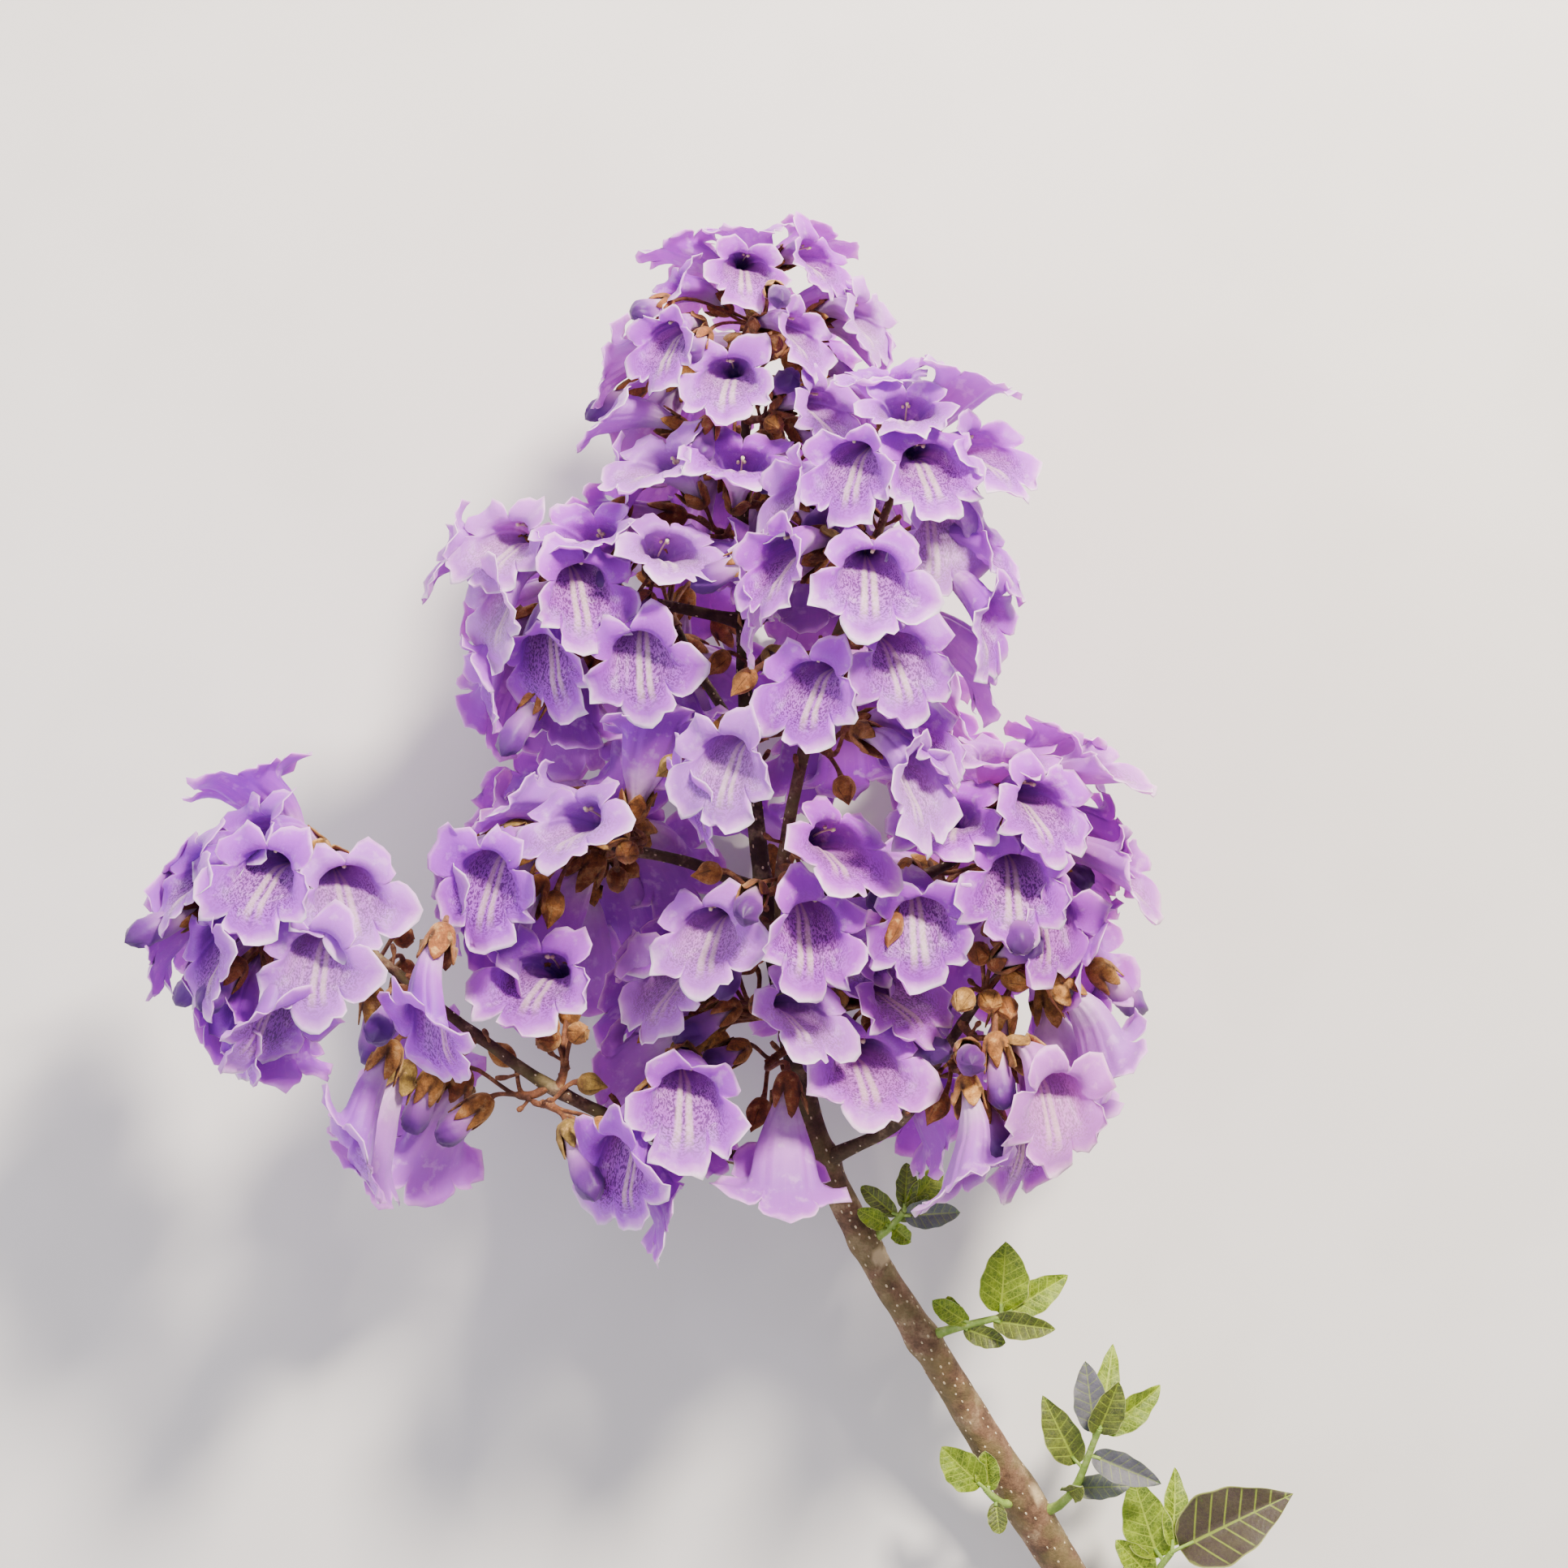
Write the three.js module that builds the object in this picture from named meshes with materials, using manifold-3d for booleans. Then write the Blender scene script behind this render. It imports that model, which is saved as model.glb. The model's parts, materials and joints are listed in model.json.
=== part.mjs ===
// A flowering shoot of a paulownia tree, cut from the tree and laid down.
// Millimetres. It is laid out as it grew, seen from its better side: x runs across, y up the shoot
// and z towards the eye. At the end it is turned a little, so that it lies on its far side.
import * as THREE from "three";
import Module from "manifold-3d";

const wasm = await Module();
wasm.setup();

// Driving sizes
const bloomLength = 52; // from the foot of the calyx to the rim of the mouth
const mouthRadius = 19.5; // to the round ends of the lobes
const notchRadius = 14; // to the notches between them
const throatRadius = 10.5;
const throatDepth = 15; // from the rim down to the floor of the cup
const lipLead = 4; // how far the lower lip stands in front of the upper one
const calyxRadius = 5.4;
const calyxLength = 14;
const budLength = 27;
const budRadius = 5;
const closedBudLength = 15;
const budFootRadius = 4.2; // of a bud where it leaves its calyx
const pedicelLength = 8;
const pedicelSpread = 9; // the longest pedicels are this much longer
const pedicelRadius = 1;
const stalkRadius = 1.6; // of the stalk of a flower cluster at its foot
const forkRadius = 1.4; // and where its pedicels leave it
const branchedStalkRadius = 1.1; // of a cluster's further stalks, where they leave its first one
const petioleRadius = 0.75;
const leafStemTipRadius = 1.1;
const leafThickness = 1.1;
const clearance = 0.3; // between pieces that meet
const floorDepth = -104; // nothing reaches below this before the shoot is laid down

// How the shoot comes to lie: turned about x, then about y, in degrees
const lieTurnX = 0.44;
const lieTurnY = -0.88;

// The main shoot, from its cut foot to its tip: the points that it runs through, and its radius at each
const mainShoot = {
  through: [
    [118, -315, -96], [101, -284, -86], [58, -211, -60], [33, -170, -45], [13, -129, -30], [5, -99, -21],
    [0, -77, -15], [-7, -35, -6], [-12, 12, 1], [-14, 56, 5], [-14, 102, 7], [-12, 132, 7], [-10, 150, 6],
  ],
  radius: [7.5, 7.1, 5.9, 5.1, 4.9, 3.9, 3.4, 3.2, 2.7, 2.3, 1.9, 1.5, 1.2],
};

// Its side branches: where each leaves it (0 foot, 1 tip), the points it runs through, and its radius
// at its foot and at each of those points
const sideBranches = {
  left_low_branch: {
    leaves: 0.325,
    through: [[-32, -125, -8], [-74, -106, 8], [-104, -85, 16], [-134, -61, 20], [-151, -48, 22]],
    radius: [2.8, 2.4, 2.2, 1.9, 1.6, 1.3],
  },
  right_low_branch: {
    leaves: 0.33,
    through: [[40, -116, -8], [51, -97, 4], [62, -79, 12], [76, -60, 16]],
    radius: [2.5, 2.1, 1.8, 1.6, 1.3],
  },
  front_branch: {
    leaves: 0.5,
    through: [[-1, -35, 17], [5, 3, 32], [15, 41, 43], [28, 75, 49], [36, 96, 51]],
    radius: [2.5, 2.2, 2.1, 1.8, 1.6, 1.3],
  },
  back_low_branch: {
    leaves: 0.5,
    through: [[8, -56, -34], [14, -22, -46], [18, 12, -50]],
    radius: [2.3, 2, 1.7, 1.3],
  },
  left_mid_branch: {
    leaves: 0.583,
    through: [[-32, -27, 3], [-54, -22, 8], [-66, -18, 10]],
    radius: [2.3, 2, 1.7, 1.3],
  },
  right_mid_branch: {
    leaves: 0.578,
    through: [[24, -37, -4], [48, -31, 2], [62, -24, 5]],
    radius: [2.3, 2, 1.7, 1.3],
  },
  back_mid_branch: {
    leaves: 0.667,
    through: [[-20, 24, -20], [-30, 40, -32], [-38, 56, -38]],
    radius: [2, 1.7, 1.5, 1.3],
  },
  left_high_branch: {
    leaves: 0.75,
    through: [[-36, 60, 6], [-54, 64, 7], [-66, 68, 8]],
    radius: [2.1, 1.8, 1.5, 1.3],
  },
};

// The flower clusters: the limb that carries each and where along it, then for each of its forks the
// middle of its open mouths and how many blooms and buds it bears
const cymes = [
  ["far_left_cyme", "left_low_branch", 1, [
    [-176, -26, 48, 3, 1], [-202, -42, 16, 3, 1], [-182, -60, 28, 3, 0], [-162, -46, 62, 2, 0],
  ]],
  ["left_tip_back_cyme", "left_low_branch", 0.84, [[-128, -74, -24, 1, 2]]],
  ["left_low_front_cyme", "left_low_branch", 0.72, [[-116, -56, 72, 1, 1]]],
  ["left_low_side_cyme", "left_low_branch", 0.6, [[-150, -84, 38, 2, 0], [-142, -102, 12, 1, 1]]],
  ["left_bud_cyme", "left_low_branch", 0.42, [[-80, -46, 26, 1, 4]]],
  ["left_hanging_cyme", "left_low_branch", 0.44, [[-104, -100, 8, 1, 2], [-70, -112, 16, 1, 3]]],
  ["left_near_cyme", "left_low_branch", 0.25, [[-44, -94, 40, 2, 0]]],
  ["low_front_cyme", "main_shoot", 0.5, [[-22, -62, 58, 1, 1], [-52, -56, 24, 2, 1], [-52, -84, 4, 2, 0]]],
  ["low_hanging_cyme", "main_shoot", 0.45, [[-20, -106, 10, 1, 2]]],
  ["low_right_cyme", "main_shoot", 0.465, [[36, -58, 36, 2, 1]]],
  ["low_right_back_cyme", "main_shoot", 0.43, [[38, -88, -16, 2, 1]]],
  ["right_hanging_cyme", "right_low_branch", 0.6, [[58, -98, 24, 1, 3]]],
  ["right_low_front_cyme", "right_low_branch", 0.72, [[72, -90, 44, 2, 0]]],
  ["right_bud_cyme", "right_low_branch", 0.86, [[70, -60, 58, 0, 6]]],
  ["right_low_tip_cyme", "right_low_branch", 1, [[84, -78, 28, 2, 1], [82, -54, 0, 3, 0]]],
  ["right_mid_tip_cyme", "right_mid_branch", 1, [
    [68, 2, 46, 2, 0], [80, -2, 32, 2, 1], [84, -24, 22, 3, 0],
  ]],
  ["right_mid_front_cyme", "right_mid_branch", 0.62, [[62, -34, 62, 3, 1]]],
  ["right_mid_back_cyme", "right_mid_branch", 0.7, [[66, -44, -94, 3, 1], [86, -22, -40, 2, 0]]],
  ["front_left_cyme", "front_branch", 0.2, [[-38, -40, 60, 1, 2]]],
  ["front_right_cyme", "front_branch", 0.24, [[10, -32, 82, 1, 0], [34, -32, 78, 1, 0]]],
  ["front_mid_right_cyme", "front_branch", 0.46, [[42, -6, 76, 2, 1]]],
  ["front_mid_left_cyme", "front_branch", 0.48, [[-26, 18, 74, 2, 1]]],
  ["front_high_cyme", "front_branch", 0.64, [[8, 40, 92, 1, 0], [36, 44, 84, 1, 1]]],
  ["front_high_right_cyme", "front_branch", 0.8, [[44, 66, 80, 2, 1]]],
  ["front_high_left_cyme", "front_branch", 0.84, [[2, 76, 90, 2, 0]]],
  ["front_tip_cyme", "front_branch", 1, [[14, 110, 84, 2, 1], [36, 106, 76, 2, 1]]],
  ["left_mid_front_cyme", "left_mid_branch", 0.6, [[-62, -6, 56, 2, 0], [-38, -4, 54, 1, 1]]],
  ["left_mid_tip_cyme", "left_mid_branch", 1, [[-78, -30, 24, 3, 0], [-78, -50, 36, 2, 1]]],
  ["left_mid_back_cyme", "left_mid_branch", 0.7, [[-80, -34, -98, 3, 1], [-86, -12, -44, 2, 0]]],
  ["left_high_tip_cyme", "left_high_branch", 1, [[-80, 74, 42, 3, 2], [-86, 52, 14, 3, 0]]],
  ["left_high_low_cyme", "left_high_branch", 0.6, [[-74, 28, 20, 3, 0], [-56, 26, 46, 2, 0]]],
  ["left_high_front_cyme", "left_high_branch", 0.55, [[-62, 66, 56, 2, 0], [-40, 60, 58, 2, 0]]],
  ["left_high_back_cyme", "left_high_branch", 0.7, [[-72, 60, -36, 4, 1]]],
  ["centre_bud_cyme", "main_shoot", 0.72, [[-22, 48, 50, 0, 3], [34, 34, 6, 3, 1]]],
  ["upper_right_cyme", "main_shoot", 0.82, [[28, 80, 4, 3, 0], [22, 106, 8, 2, 1]]],
  ["upper_left_cyme", "main_shoot", 0.8, [[-44, 90, 30, 3, 0], [-26, 90, 52, 2, 0]]],
  ["upper_front_cyme", "main_shoot", 0.86, [[-34, 112, 26, 3, 0], [-20, 114, 46, 2, 0]]],
  ["upper_bud_cyme", "main_shoot", 0.89, [[4, 122, 46, 0, 4], [12, 130, 32, 2, 0]]],
  ["upper_back_cyme", "main_shoot", 0.86, [[-8, 104, -46, 5, 0]]],
  ["top_left_cyme", "main_shoot", 0.94, [[-34, 142, 24, 3, 0], [-22, 144, 42, 2, 0]]],
  ["top_back_cyme", "main_shoot", 0.95, [[-8, 154, -34, 4, 1]]],
  ["top_right_cyme", "main_shoot", 0.97, [[14, 150, 32, 3, 0]]],
  ["top_cyme", "main_shoot", 1, [[-22, 178, 28, 2, 0], [4, 180, 26, 2, 1], [-8, 170, 44, 1, 0]]],
  ["back_low_tip_cyme", "back_low_branch", 1, [[24, 40, -82, 3, 1], [46, 0, -82, 3, 0]]],
  ["back_low_cyme", "back_low_branch", 0.5, [[-16, -40, -82, 4, 1]]],
  ["back_mid_tip_cyme", "back_mid_branch", 1, [[-46, 80, -78, 3, 0], [-58, 30, -78, 3, 1]]],
];

// The leafy twigs on the main shoot: where each leaves it, the tip of its stem, and its leaves from the
// foot up: how far along the stem, length, width, and the way it points
const leafTwigs = [
  ["upper_leaf_twig", 0.268, [42, -150, -34], [
    [0.25, 14, 7, [-0.9, 0.5, 0.5]], [0.3, 9, 7, [0.6, -0.5, 0.6]], [0.5, 15, 6, [0.7, 0.6, 0.4]],
    [0.7, 17, 7, [-0.7, 0.6, 0.1]], [0.8, 21, 10, [0.95, 0.1, 0.4]], [1, 21, 10, [0.7, 0.75, -0.1]],
    [1, 17, 8, [0.1, 1, 0.2]],
  ]],
  ["middle_leaf_twig", 0.19, [76, -188, -42], [
    [0.2, 12, 7, [-0.3, 0.9, 0.4]], [0.25, 17, 8, [0.9, -0.3, 0.4]], [0.45, 16, 8, [-0.8, 0.5, 0.3]],
    [0.8, 24, 10, [0.9, -0.1, 0.5]], [1, 27, 18, [0.1, 1, 0.3]], [1, 28, 12, [0.9, 0.55, 0.1]],
    [1, 22, 9, [0.15, 1, -0.5]],
  ]],
  ["lower_leaf_twig", 0.108, [112, -229, -52], [
    [0.2, 12, 8, [0.3, 0.2, 0.9]], [0.25, 22, 9, [0.98, 0.1, 0.3]], [0.5, 30, 13, [-0.45, 0.9, 0.35]],
    [0.7, 28, 11, [0.9, -0.35, 0.3]], [0.9, 27, 12, [-0.15, 1, 0.2]], [0.95, 28, 12, [0.85, 0.55, 0]],
    [1, 31, 9, [0.2, 1, -0.2]], [0.9, 24, 12, [0.35, 0.9, 0.6]],
  ]],
  ["left_leaf_twig", 0.118, [72, -252, -62], [
    [0.5, 12, 7, [0.1, -0.9, 0.3]], [0.8, 16, 9, [-0.1, 0.9, 0.4]], [1, 22, 14, [-0.7, 0.65, 0.3]],
  ]],
  ["foot_leaf_twig", 0.035, [139, -276, -68], [
    [0.3, 24, 13, [0.1, 0.9, 0.6]], [0.6, 20, 10, [-0.6, 0.7, 0.5]], [0.8, 35, 18, [-0.35, 1, 0.25]],
    [1, 30, 10, [0.1, 1, -0.05]], [1, 48, 27, [0.9, 0.5, 0.2]],
  ]],
];

// A number from 0 to 1 that looks random and is the same for the same seed
function chance(seed) {
  const s = Math.sin(seed * 12.9898 + 78.233) * 43758.5453;
  return s - Math.floor(s);
}

const vector = (p) => new THREE.Vector3(p[0], p[1], p[2]);
const along = (from, direction, length) => from.clone().addScaledVector(direction, length);
const upTheShoot = new THREE.Vector3(0, 1, 0.0001);
const towardsEye = new THREE.Vector3(0.0001, 0, 1);

// Three directions at right angles, the last along the axis and the second as near to up as it can be
function axesAlong(axis, up) {
  const side = new THREE.Vector3().crossVectors(up, axis).normalize();
  return [side, new THREE.Vector3().crossVectors(axis, side).normalize(), axis];
}

// A direction turned away from the aim by an angle, towards one side of it
function lean(aim, angle, turn) {
  const [side, up] = axesAlong(aim, upTheShoot);
  const out = side.multiplyScalar(Math.cos(turn)).addScaledVector(up, Math.sin(turn));
  return aim.clone().multiplyScalar(Math.cos(angle)).addScaledVector(out, Math.sin(angle)).normalize();
}

// Limbs: a curve, its radius at evenly spaced places along it, and the way its foot faces
function limbThrough(points, radius, footNormal) {
  const curve = new THREE.CatmullRomCurve3(points, false, "catmullrom", 0.5);
  return { curve, radius, footNormal: footNormal ?? curve.getTangent(0).normalize() };
}

function radiusAt(limb, t) {
  const place = Math.min(t * (limb.radius.length - 1), limb.radius.length - 1.000001);
  const k = Math.floor(place);
  return THREE.MathUtils.lerp(limb.radius[k], limb.radius[k + 1], place - k);
}

// Where a twig leaves a limb, and the way it sets out: just clear of the bark on the side that faces
// its target, or just clear of the limb's tip
function footOn(limb, station, target) {
  const on = limb.curve.getPoint(station);
  const tangent = limb.curve.getTangent(station).normalize();
  if (station === 1) return { at: along(on, tangent, clearance), normal: tangent };
  const normal = target.clone().sub(on);
  normal.addScaledVector(tangent, -normal.dot(tangent)).normalize();
  return { at: along(on, normal, radiusAt(limb, station) + clearance), normal };
}

const limbs = { main_shoot: limbThrough(mainShoot.through.map(vector), mainShoot.radius) };
Object.entries(sideBranches).forEach(([name, { leaves, through, radius }]) => {
  const points = through.map(vector);
  const foot = footOn(limbs.main_shoot, leaves, points[0]);
  limbs[name] = limbThrough([foot.at, ...points], radius, foot.normal);
});

// The balls that stand for a flower while it looks for room: distance along its axis and radius
const tubeBalls = [[5, 3.4], [12, 5.6], [20, 6.6], [29, 8.4], [40, 10.8], [50, 9]];
const budBalls = [[4, 3], [10, 4.8], [16, 5.2], [22, 5.2]];
const lobeBall = { along: 51, out: 13.4, radius: 7.6 };
const lobeCount = 5;
const lobeTurn = (k) => -Math.PI / 2 + (k * 2 * Math.PI) / lobeCount; // the lowest lobe comes first

function flowerBalls(isBud, foot, direction, size) {
  const balls = (isBud ? budBalls : tubeBalls).map(([z, r]) => [along(foot, direction, z * size), r * size]);
  if (isBud) return balls;
  const [side, up] = axesAlong(direction, upTheShoot);
  for (let k = 0; k < lobeCount; k++) {
    const middle = along(foot, direction, lobeBall.along * size);
    middle.addScaledVector(side, Math.cos(lobeTurn(k)) * lobeBall.out * size);
    middle.addScaledVector(up, Math.sin(lobeTurn(k)) * lobeBall.out * size);
    balls.push([middle, lobeBall.radius * size]);
  }
  return balls;
}

const ballStep = 3;

function twigBalls(from, to, radius) {
  const steps = Math.max(1, Math.ceil(from.distanceTo(to) / ballStep));
  return Array.from({ length: steps + 1 }, (_, k) => [from.clone().lerp(to, k / steps), radius]);
}

// What has been placed so far: each ball, the piece that owns it, and whether it is part of a flower.
// The flowers of one cluster may touch, and at their feet and their stalks they may run together.
const taken = [];
const take = (balls, owner, flower) => balls.forEach(([p, r]) => taken.push({ p, r, owner, flower }));

function isFree(balls, owner, flower) {
  return balls.every(([p, r], k) => {
    if (p.z - r < floorDepth) return false;
    return taken.every((other) => {
      const isOwn = other.owner === owner;
      if (isOwn && !(flower && other.flower && k > 0)) return true;
      const room = r + other.r + (isOwn ? 0 : clearance * 2);
      return p.distanceToSquared(other.p) > room * room;
    });
  });
}

const heelLength = 4; // a twig sets out square to the bark for this far, then bends
const heelOf = (foot) => along(foot.at, foot.normal, heelLength);

function placeLimbs() {
  Object.entries(limbs).forEach(([name, limb]) => {
    const steps = Math.ceil(limb.curve.getLength() / ballStep);
    for (let k = 0; k <= steps; k++) {
      take([[limb.curve.getPoint(k / steps), radiusAt(limb, k / steps)]], name, false);
    }
  });
}

const bladeRoom = 0.3; // the balls along a leaf are this share of its width

function placeLeafTwig([name, station, tip, leaves]) {
  const end = vector(tip);
  const foot = footOn(limbs.main_shoot, station, end);
  const heel = heelOf(foot);
  take(twigBalls(foot.at, heel, stalkRadius), name, false);
  take(twigBalls(heel, end, stalkRadius), name, false);
  const blades = leaves.map(([share, length, width, points]) => {
    const from = heel.clone().lerp(end, share);
    const direction = vector(points).normalize();
    take(twigBalls(from, along(from, direction, length), width * bladeRoom), name, false);
    return { from, direction, length, width };
  });
  return { name, foot, heel, end, blades };
}

const shortestStalk = 6;

function placeStalks([name, limbName, station, forks], number) {
  const middle = forks.reduce((sum, fork) => sum.add(vector(fork)), new THREE.Vector3());
  const foot = footOn(limbs[limbName], station, middle.divideScalar(forks.length));
  const heel = heelOf(foot);
  take(twigBalls(foot.at, heel, stalkRadius), name, false);
  const stalks = forks.map(([x, y, z, blooms, buds]) => {
    const way = new THREE.Vector3(x, y, z).sub(heel);
    const flowerLength = bloomLength * sizeAt(y, number) + pedicelLength + pedicelSpread / 2;
    const length = Math.max(shortestStalk, way.length() - flowerLength);
    const direction = way.normalize();
    const at = along(heel, direction, length);
    const mouths = along(at, direction, flowerLength);
    take(twigBalls(heel, at, stalkRadius), name, false);
    return { at, mouths, direction, length, blooms, buds, flowers: [] };
  });
  return { name, foot, heel, stalks };
}

// The flowers are largest at the foot of the shoot and smallest at its top: their size at each height
const flowerSizes = [[-130, 1], [70, 0.9], [120, 0.8], [170, 0.68]];
const sizeSpread = 0.04; // and how far one flower differs from the next

function sizeAt(height, seed) {
  let k = 0;
  while (k < flowerSizes.length - 2 && height > flowerSizes[k + 1][0]) k += 1;
  const [[low, sizeLow], [high, sizeHigh]] = flowerSizes.slice(k, k + 2);
  const share = THREE.MathUtils.clamp((height - low) / (high - low), 0, 1);
  return THREE.MathUtils.lerp(sizeLow, sizeHigh, share) * (1 - sizeSpread + 2 * sizeSpread * chance(seed));
}

const fanAngles = [0, 0, 19, 23, 28, 33]; // how far the blooms of a fork lean out, by their number
const budLean = 40;
const droop = 0.25;
const mouthReach = 50; // how far from the middle of its fork's mouths a flower may open
const forkStep = 2.2; // between the pedicels of a fork, less on a short stalk
const forkShare = 0.8; // the part of a stalk that may bear pedicels
const bloomTries = 150;
const tryStep = 0.075;
const goldenTurn = 2.399963;

// Each flower tries its planned direction first and then others further and further round it
function placeFlower(cyme, stalk, k, seed) {
  const isBud = k >= stalk.blooms;
  const share = isBud ? (k + 0.5) / stalk.buds : k / stalk.blooms;
  const opening = THREE.MathUtils.degToRad(isBud ? budLean : fanAngles[stalk.blooms]);
  const planned = lean(stalk.direction, opening, chance(seed) + share * 2 * Math.PI);
  planned.y -= isBud ? 0 : droop;
  planned.normalize();
  const step = Math.min(forkStep, (stalk.length * forkShare) / (stalk.blooms + stalk.buds));
  const from = along(stalk.at, stalk.direction, -step * stalk.flowers.length);
  for (let go = 0; go < bloomTries; go++) {
    const direction = lean(planned, tryStep * Math.sqrt(go), go * goldenTurn);
    const pedicelShare = sizeAt(from.y, seed);
    const pedicel = (pedicelLength + pedicelSpread * chance(seed * 7 + go)) * pedicelShare;
    const foot = along(from, direction, pedicel);
    const size = sizeAt(foot.y, seed);
    const balls = flowerBalls(isBud, foot, direction, size);
    const mouth = along(foot, direction, bloomLength * size);
    if (mouth.distanceTo(stalk.mouths) > mouthReach) continue;
    const stem = twigBalls(from, foot, pedicelRadius);
    if (isFree(balls, cyme.name, true) && isFree(stem, cyme.name, false)) {
      take(balls, cyme.name, true);
      take(stem, cyme.name, false);
      stalk.flowers.push({ from, foot, direction, size, isBud, seed });
      return;
    }
  }
}

// Stalks are placed before any flower, so that no flower closes over another cluster's stalk
function layOut() {
  placeLimbs();
  const leafy = leafTwigs.map(placeLeafTwig);
  const flowering = cymes.map(placeStalks);
  let seed = 1;
  flowering.forEach((cyme) => {
    cyme.stalks.forEach((stalk) => {
      for (let k = 0; k < stalk.blooms + stalk.buds; k++) placeFlower(cyme, stalk, k, ++seed);
    });
  });
  return { leafy, flowering };
}

// A closed skin over rings of points. A ring may be a single point, or have more points than its neighbour.
function skin(rings) {
  const faces = [];
  let start = 0;
  const cap = (first, count, outwards) => {
    for (let i = 1; i + 1 < count; i++) {
      faces.push(first, first + (outwards ? i : i + 1), first + (outwards ? i + 1 : i));
    }
  };
  cap(0, rings[0].length, false);
  for (let k = 0; k + 1 < rings.length; k++) {
    const lower = rings[k].length;
    const upper = rings[k + 1].length;
    const next = start + lower;
    const most = Math.max(lower, upper);
    for (let i = 0; i < most; i++) {
      const a0 = start + Math.floor((i * lower) / most);
      const a1 = start + (Math.floor(((i + 1) * lower) / most) % lower);
      const b0 = next + Math.floor((i * upper) / most);
      const b1 = next + (Math.floor(((i + 1) * upper) / most) % upper);
      if (a0 !== a1) faces.push(a0, a1, b1);
      if (b0 !== b1) faces.push(a0, b1, b0);
    }
    start = next;
  }
  cap(start, rings[rings.length - 1].length, true);
  return new THREE.BufferGeometry().setFromPoints(rings.flat()).setIndex(faces);
}

// Rings are drawn round the z axis, from the lowest point on, and then stood on a place along an axis
const pointAt = (turn, radius, height) =>
  new THREE.Vector3(Math.cos(turn) * radius, Math.sin(turn) * radius, height);
const tipAt = (height) => [new THREE.Vector3(0, 0, height)];
const ring = (count, radius, height) =>
  Array.from({ length: count }, (_, i) => pointAt(-Math.PI / 2 + (i * 2 * Math.PI) / count, radius, height));

const stood = (points, at, [side, up, axis]) =>
  points.map((p) => at.clone().addScaledVector(side, p.x).addScaledVector(up, p.y).addScaledVector(axis, p.z));

// The same three directions for a bent stretch of a stalk, with the least twist
function axesNear([side], axis) {
  const up = new THREE.Vector3().crossVectors(axis, side).normalize();
  return [new THREE.Vector3().crossVectors(up, axis).normalize(), up, axis];
}

// The rings of a stalk through its points, worked back from the axes at its end. Each is square to the
// way that the stalk runs there, and the first to the foot's own normal.
function stalkRings(points, radii, endAxes, footNormal) {
  const rings = [];
  let axes = endAxes;
  for (let k = points.length - 1; k >= 0; k--) {
    const before = points[Math.max(k - 1, 0)];
    const after = points[Math.min(k + 1, points.length - 1)];
    const way = k === 0 && footNormal ? footNormal : after.clone().sub(before).normalize();
    axes = axesNear(axes, way);
    rings.unshift(stood(ring(stalkSides, radii[k], 0), points[k], axes));
  }
  return rings;
}

// The wavy rim of a mouth: two shoulders to each lobe, then the notch before the next
const shoulderTurn = 0.3;
const notchBack = 2;

function rim(size) {
  const points = [];
  for (let k = 0; k < lobeCount; k++) {
    const middle = lobeTurn(k);
    const height = (bloomLength - Math.sin(middle) * lipLead) * size;
    points.push(pointAt(middle - shoulderTurn, mouthRadius * size, height));
    points.push(pointAt(middle + shoulderTurn, mouthRadius * size, height));
    const between = middle + Math.PI / lobeCount;
    const notchHeight = bloomLength - notchBack - Math.sin(between) * lipLead;
    points.push(pointAt(between, notchRadius * size, notchHeight * size));
  }
  return points;
}

const calyxRim = calyxLength * 0.9; // the tube leaves the calyx a little below its teeth
const throatHeight = bloomLength - throatDepth * 0.75; // where the tube is as wide as the throat

// An open bloom: the calyx, the tube that widens to the throat, five lobes, and the cup inside
const bloomRings = (size) => [
  ring(lobeCount, calyxRadius * size, calyxRim * size),
  ring(lobeCount, throatRadius * size, throatHeight * size),
  rim(size),
  tipAt((bloomLength - throatDepth) * size),
];

// A coloured bud that stands out of its calyx, and a closed one that is all calyx
const colouredBudRings = (size) => [
  ring(lobeCount, budFootRadius * size, budLength * 0.4 * size),
  ring(lobeCount, budRadius * size, budLength * 0.78 * size),
  tipAt(budLength * size),
];
const closedBudRings = (size) => [
  ring(lobeCount, budFootRadius * size, closedBudLength * 0.55 * size),
  tipAt(closedBudLength * size),
];

const twigSides = 3;
const stalkSides = 4;
const sunkShare = 0.85; // a pedicel is this much thinner where it starts inside its stalk
const colouredShare = 0.6; // of the buds

function flowerRings({ foot, direction, size, isBud, seed }, axes) {
  const budRings = chance(seed * 3) < colouredShare ? colouredBudRings : closedBudRings;
  return (isBud ? budRings(size) : bloomRings(size)).map((points) => stood(points, foot, axes));
}

// The first flower of a stalk ends it in one skin
function endedStalk(points, radii, footNormal, flower) {
  const axes = axesAlong(flower.direction, upTheShoot);
  const stalk = stalkRings([...points, flower.foot], [...radii, pedicelRadius], axes, footNormal);
  return skin([...stalk, ...flowerRings(flower, axes)]);
}

// The others stand on pedicels that start inside the stalk
function sideFlower(flower) {
  const axes = axesAlong(flower.direction, upTheShoot);
  return skin([
    stood(ring(twigSides, pedicelRadius * sunkShare, 0), flower.from, axes),
    stood(ring(twigSides, pedicelRadius, 0), flower.foot, axes),
    ...flowerRings(flower, axes),
  ]);
}

// A leaf: its stalk, a blade that is widest below its middle, and a pointed tip that bends away
function bladeRing(halfWidth, halfThickness, height, bend) {
  return [
    new THREE.Vector3(0, bend - halfThickness, height), new THREE.Vector3(halfWidth, bend, height),
    new THREE.Vector3(0, bend + halfThickness, height), new THREE.Vector3(-halfWidth, bend, height),
  ];
}

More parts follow.
